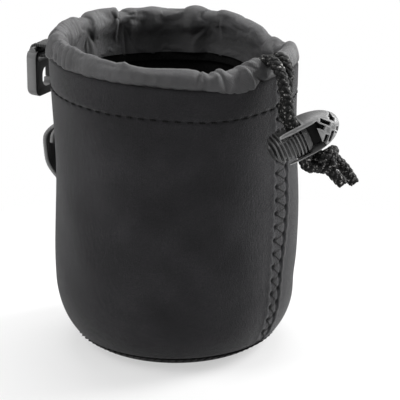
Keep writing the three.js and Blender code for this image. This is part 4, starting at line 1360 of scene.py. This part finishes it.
def bar_tack(name, x, level, width, hug):
    """A dense bar of zigzag thread that holds webbing."""

    def on_web(y, z, lift):
        return np.stack([x + hug(y, z) - lift, y, z], axis=-1)

    build = Build()
    strokes = int(width / 0.85)
    for i in range(strokes):
        y = -width / 2 + (i + 0.5) * width / strokes
        reach = TACK_REACH if i % 2 else -TACK_REACH
        add_stitch(build, on_web, (y - 0.35, level - reach), (y + 0.35, level + reach), 0.3, 0.3, 0.29)
    return build.make(name)


HOOK_HALF = 6.4
HOOK_THICK = 3.6
LIMB = 2.8
CROSS_TOP = -3.55
CROSS_LOW = -5.95
OPENING_LOW = -12.95
HOOK_LOW = -15.75
BAR_RADIUS = 1.75
TAB_BAR = 1.35
POST_TOP = 0.0
NOSE_TOP = OPENING_LOW + 1.7


def rounded_outline(corners):
    """A closed outline with a rounded corner at each x and y: its reach before and after, and its points."""
    places = np.array([row[:2] for row in corners])
    points = []
    for i, (*_, before, after, steps) in enumerate(corners):
        at = places[i]
        start = at - unit(at - places[i - 1]) * before
        end = at + unit(places[(i + 1) % len(places)] - at) * after
        for t in np.linspace(0, 1, steps):
            points.append(((1 - t) ** 2) * start + 2 * t * (1 - t) * at + t * t * end)
    return points


def hook_plate():
    inside = HOOK_HALF - LIMB
    near = HOOK_HALF - 4.0
    post = HOOK_HALF - 1.8
    half = HOOK_THICK / 2
    low, high = HOOK_LOW - 0.05, BAR_RADIUS + 0.05
    outline = [
        (-post, POST_TOP, 0.2, 0.2, 6),
        (-post, CROSS_TOP, 0.5, 0.5, 6),
        (post, CROSS_TOP, 0.5, 0.5, 6),
        (post, POST_TOP, 0.2, 0.2, 6),
        (HOOK_HALF, POST_TOP, 1.6, 3.0, 10),
        (HOOK_HALF, CROSS_LOW, 0.4, 0.4, 6),
        (-near, CROSS_LOW, 3.0, 3.0, 10),
        (-near, OPENING_LOW, 3.0, 3.0, 10),
        (inside, OPENING_LOW, 0.9, 0.9, 6),
        (inside, NOSE_TOP, 0.3, 0.3, 6),
        (HOOK_HALF, NOSE_TOP, 0.5, 0.5, 6),
        (HOOK_HALF, HOOK_LOW, 3.4, 3.4, 10),
        (-HOOK_HALF, HOOK_LOW, 3.4, 3.4, 10),
        (-HOOK_HALF, POST_TOP, 3.0, 1.6, 10),
    ]
    profile = [
        (half, low, 2.2, 3.0, 8),
        (half, high, 2.2, 1.4, 8),
        (-half, high, 0.5, 0.5, 6),
        (-half, low, 0.5, 0.5, 6),
    ]
    plate = outline_solid(rounded_outline(outline), -half, half, "hook_plate")
    rounding = outline_solid(rounded_outline(profile), -2 * HOOK_HALF, 2 * HOOK_HALF)
    combine(plate, turned(rounding, "Y"), "INTERSECT")
    bar = outline_solid(circle(TAB_BAR, 28), -post - 0.9, post + 0.9)
    combine(plate, turned(bar, "Y"), "UNION")
    round_edges(plate, 0.32)
    return to_hook(plate)


def to_hook(obj):
    """Outlines lie in the part's Y and Z and are thick along X, about the hook's bar."""
    basis = Matrix(((0, 0, 1, 0), (1, 0, 0, 0), (0, 1, 0, 0), (0, 0, 0, 1)))
    obj.data.transform(Matrix.Translation(Vector((BAR_X, 0, BAR_HEIGHT)) * MM) @ basis)
    return obj


def hook_flap():
    middle = HOOK_HALF - LIMB / 2
    half = 1.1
    pivot = CROSS_LOW - 0.3 - half
    top = circle(half, 24)[:13] + [middle, pivot]
    tip = [[middle - half, NOSE_TOP + 0.3], [middle + half, NOSE_TOP + 0.3]]
    flap = outline_solid(np.vstack([top, tip]), -HOOK_THICK / 2 + 0.3, HOOK_THICK / 2 - 0.3, "hook_flap")
    round_edges(flap, 0.25)
    return to_hook(flap)


# Putting the pouch together

wall = dress(cup_wall(), NEOPRENE, nodes=["outer_wall"])
# Painted shade: the inside faces of the wall and the base take the darker lining.
paint_shade_inside(wall, lambda p: np.hypot(p[:, 0], p[:, 1]) < wall_radius(p[:, 2]) - 2.4)
base = dress(cup_base(), NEOPRENE, nodes=["base_panel"])
paint_shade_inside(base, lambda p: p[:, 2] > np.maximum(2.5, np.hypot(p[:, 0], p[:, 1]) - 28))
dress(collar_stitches(), THREAD, nodes=["collar_stitch_thread"])
dress(side_stitches(), SEAM_THREAD, nodes=["side_seam_thread"])
dress(base_stitches(), THREAD, nodes=["base_seam_thread"])
collar_cloth, collar_flat = collar()
dress(collar_cloth, NYLON, nodes=["collar_casing"])
# Painted shade: the casing's cloth below its hem takes the darker lining.
paint_shade_inside(collar_cloth, below_hem)


def dress_cord(obj, node):
    return dress(obj, CORD, nodes=[node])


front_line = spaced(strand_route(CASING_FRONT, 1, FRONT_TURNS))
rear_line = spaced(strand_route(CASING_REAR, -1, REAR_TURNS))
front_cord = dress_cord(cord_piece("cord_front", front_line), "strand_front")
rear_cord = dress_cord(cord_piece("cord_rear", rear_line), "strand_rear")
knot_piece = dress_cord(knot(), "stopper_knot")
front_tail = dress_cord(cord_piece("tail_front_cord", spaced(TAIL_FRONT), tip=True), "tail_front")
rear_tail = dress_cord(cord_piece("tail_rear_cord", spaced(TAIL_REAR), tip=True), "tail_rear")
dress_cord(cord_in_casing("casing_cord"), "drawstring_loop")

dress(lock_shell(), LOCK_PLASTIC, "lock", ["lock_body"])
dress(lock_pad(), PAINTED_SHADE_PAD_PLASTIC, "button", ["lock_button"])
dress(lock_shade_core(), PAINTED_SHADE_PLASTIC, "lock")
dress(lock_tongue(), PAINTED_SHADE_PLASTIC, "button")
coil = dress(lock_coil(), STEEL, "lock", ["lock_spring"])
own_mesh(coil)

strap = woven_strip("belt_strap_weave", strap_path(), STRAP_WIDTH, 16, hug=strap_hug)
dress(strap, STRAP_WEB, nodes=["belt_strap"])
tab = woven_strip("hook_tab_weave", tab_path(), TAB_WIDTH, 7, TAB_WEB_THICKNESS)
dress(tab, TAB_WEB, nodes=["hook_tab"])
TACKS = [  # replaced solid, face of the webbing, level, width and lie of the webbing
    ("strap_tack_upper", STRAP_OUTER, (STRAP_TOP + STRAP_UPPER) / 2, STRAP_WIDTH, strap_hug),
    ("strap_tack_lower", STRAP_WALL, (STRAP_END + STRAP_LOWER) / 2 - 1, STRAP_WIDTH, strap_hug),
    ("tab_tack", TAB_OUTER, (TAB_END + BAR_HEIGHT) / 2 - 2, TAB_WIDTH, no_hug),
]
for node, face, level, width, hug in TACKS:
    tack = bar_tack(node + "_thread", face - WEB / 2, level, width - TACK_MARGIN, hug)
    dress(tack, THREAD, nodes=[node])
dress(hook_plate(), HOOK_PLASTIC, "hook", ["hook_body"])
dress(hook_flap(), GATE_PLASTIC, "gate", ["hook_gate"])

# Floor, light and camera

FLOOR_HALF = 3000
LIGHT_TARGET = Vector((0, 0, 0.05))
WORLD_LIGHT = 0.42
CAMERA_AZIMUTH = math.radians(30)
CAMERA_ELEVATION = math.radians(19.5)
CAMERA_DISTANCE = 700
CAMERA_TARGET = Vector((6.91, 3.99, 47.06))
FOCAL_PIXELS = 2105
FRAME_PIXELS = 400


def floor():
    corners = [[x * FLOOR_HALF, y * FLOOR_HALF, 0] for x, y in ((-1, -1), (1, -1), (1, 1), (-1, 1))]
    obj = make_object("floor", corners, [[0, 1, 2, 3]])
    s = Shader("floor_paper", Roughness=0.9, Specular_IOR_Level=0.1)
    s.colours(s.noise(40, 2), [(0.0, grey(0.73)), (1.0, grey(0.77))])
    glow = s.node("ShaderNodeEmission", {"Strength": 1.0})
    rays = s.node("ShaderNodeLightPath").outputs
    seen = s.maths("MAXIMUM", rays["Is Camera Ray"], rays["Is Glossy Ray"])
    seen = s.maths("MAXIMUM", seen, rays["Is Transmission Ray"])
    reach = s.node("ShaderNodeVectorMath", {0: s.place.outputs["Object"]}, operation="LENGTH")
    fade = s.spread(reach.outputs["Value"], 0.5, 1.0, 0.05, 0.14)
    shares = {0: s.maths("MULTIPLY", seen, fade), 1: s.bsdf.outputs[0], 2: glow.outputs[0]}
    mix = s.node("ShaderNodeMixShader", shares)
    s.feed(s.tree.nodes["Material Output"].inputs["Surface"], mix.outputs[0])
    obj.data.materials.append(s.material)


def stand_off(obj, place, way):
    """Puts a light or camera at its place, turned to look back along the way it is off."""
    obj.location = place
    obj.rotation_euler = (-way).to_track_quat("-Z", "Y").to_euler()


def soft_light(name, heading, elevation, distance, size, power):
    data = bpy.data.lights.new(name, "AREA")
    data.shape = "RECTANGLE"
    data.size, data.size_y = size
    data.energy = power
    heading, elevation = math.radians(heading), math.radians(elevation)
    level = math.cos(elevation)
    way = Vector((level * math.cos(heading), level * math.sin(heading), math.sin(elevation)))
    stand_off(add_object(name, data), LIGHT_TARGET + way * distance, way)


def photo_camera():
    data = bpy.data.cameras.new("camera")
    data.sensor_width = 36
    data.lens = data.sensor_width * FOCAL_PIXELS / FRAME_PIXELS
    data.clip_end = 20
    camera = add_object("camera", data)
    side, back = math.sin(CAMERA_AZIMUTH), -math.cos(CAMERA_AZIMUTH)
    level = math.cos(CAMERA_ELEVATION)
    way = Vector((side * level, back * level, math.sin(CAMERA_ELEVATION)))
    stand_off(camera, (CAMERA_TARGET + way * CAMERA_DISTANCE) * MM, way)
    bpy.context.scene.camera = camera


floor()
soft_light("key_left", 222, 40, 1.0, (0.6, 0.7), 6.0)
soft_light("rim_right", 52, 26, 1.0, (0.4, 0.8), 17.0)
soft_light("top_back", 118, 58, 1.1, (0.9, 0.7), 8.8)
photo_camera()
world = bpy.data.worlds.new("studio")
world.use_nodes = True
background = world.node_tree.nodes["Background"].inputs
background["Color"].default_value = (1, 1, 1, 1)
background["Strength"].default_value = WORLD_LIGHT
bpy.context.scene.world = world
bpy.context.scene.view_settings.view_transform = "Standard"
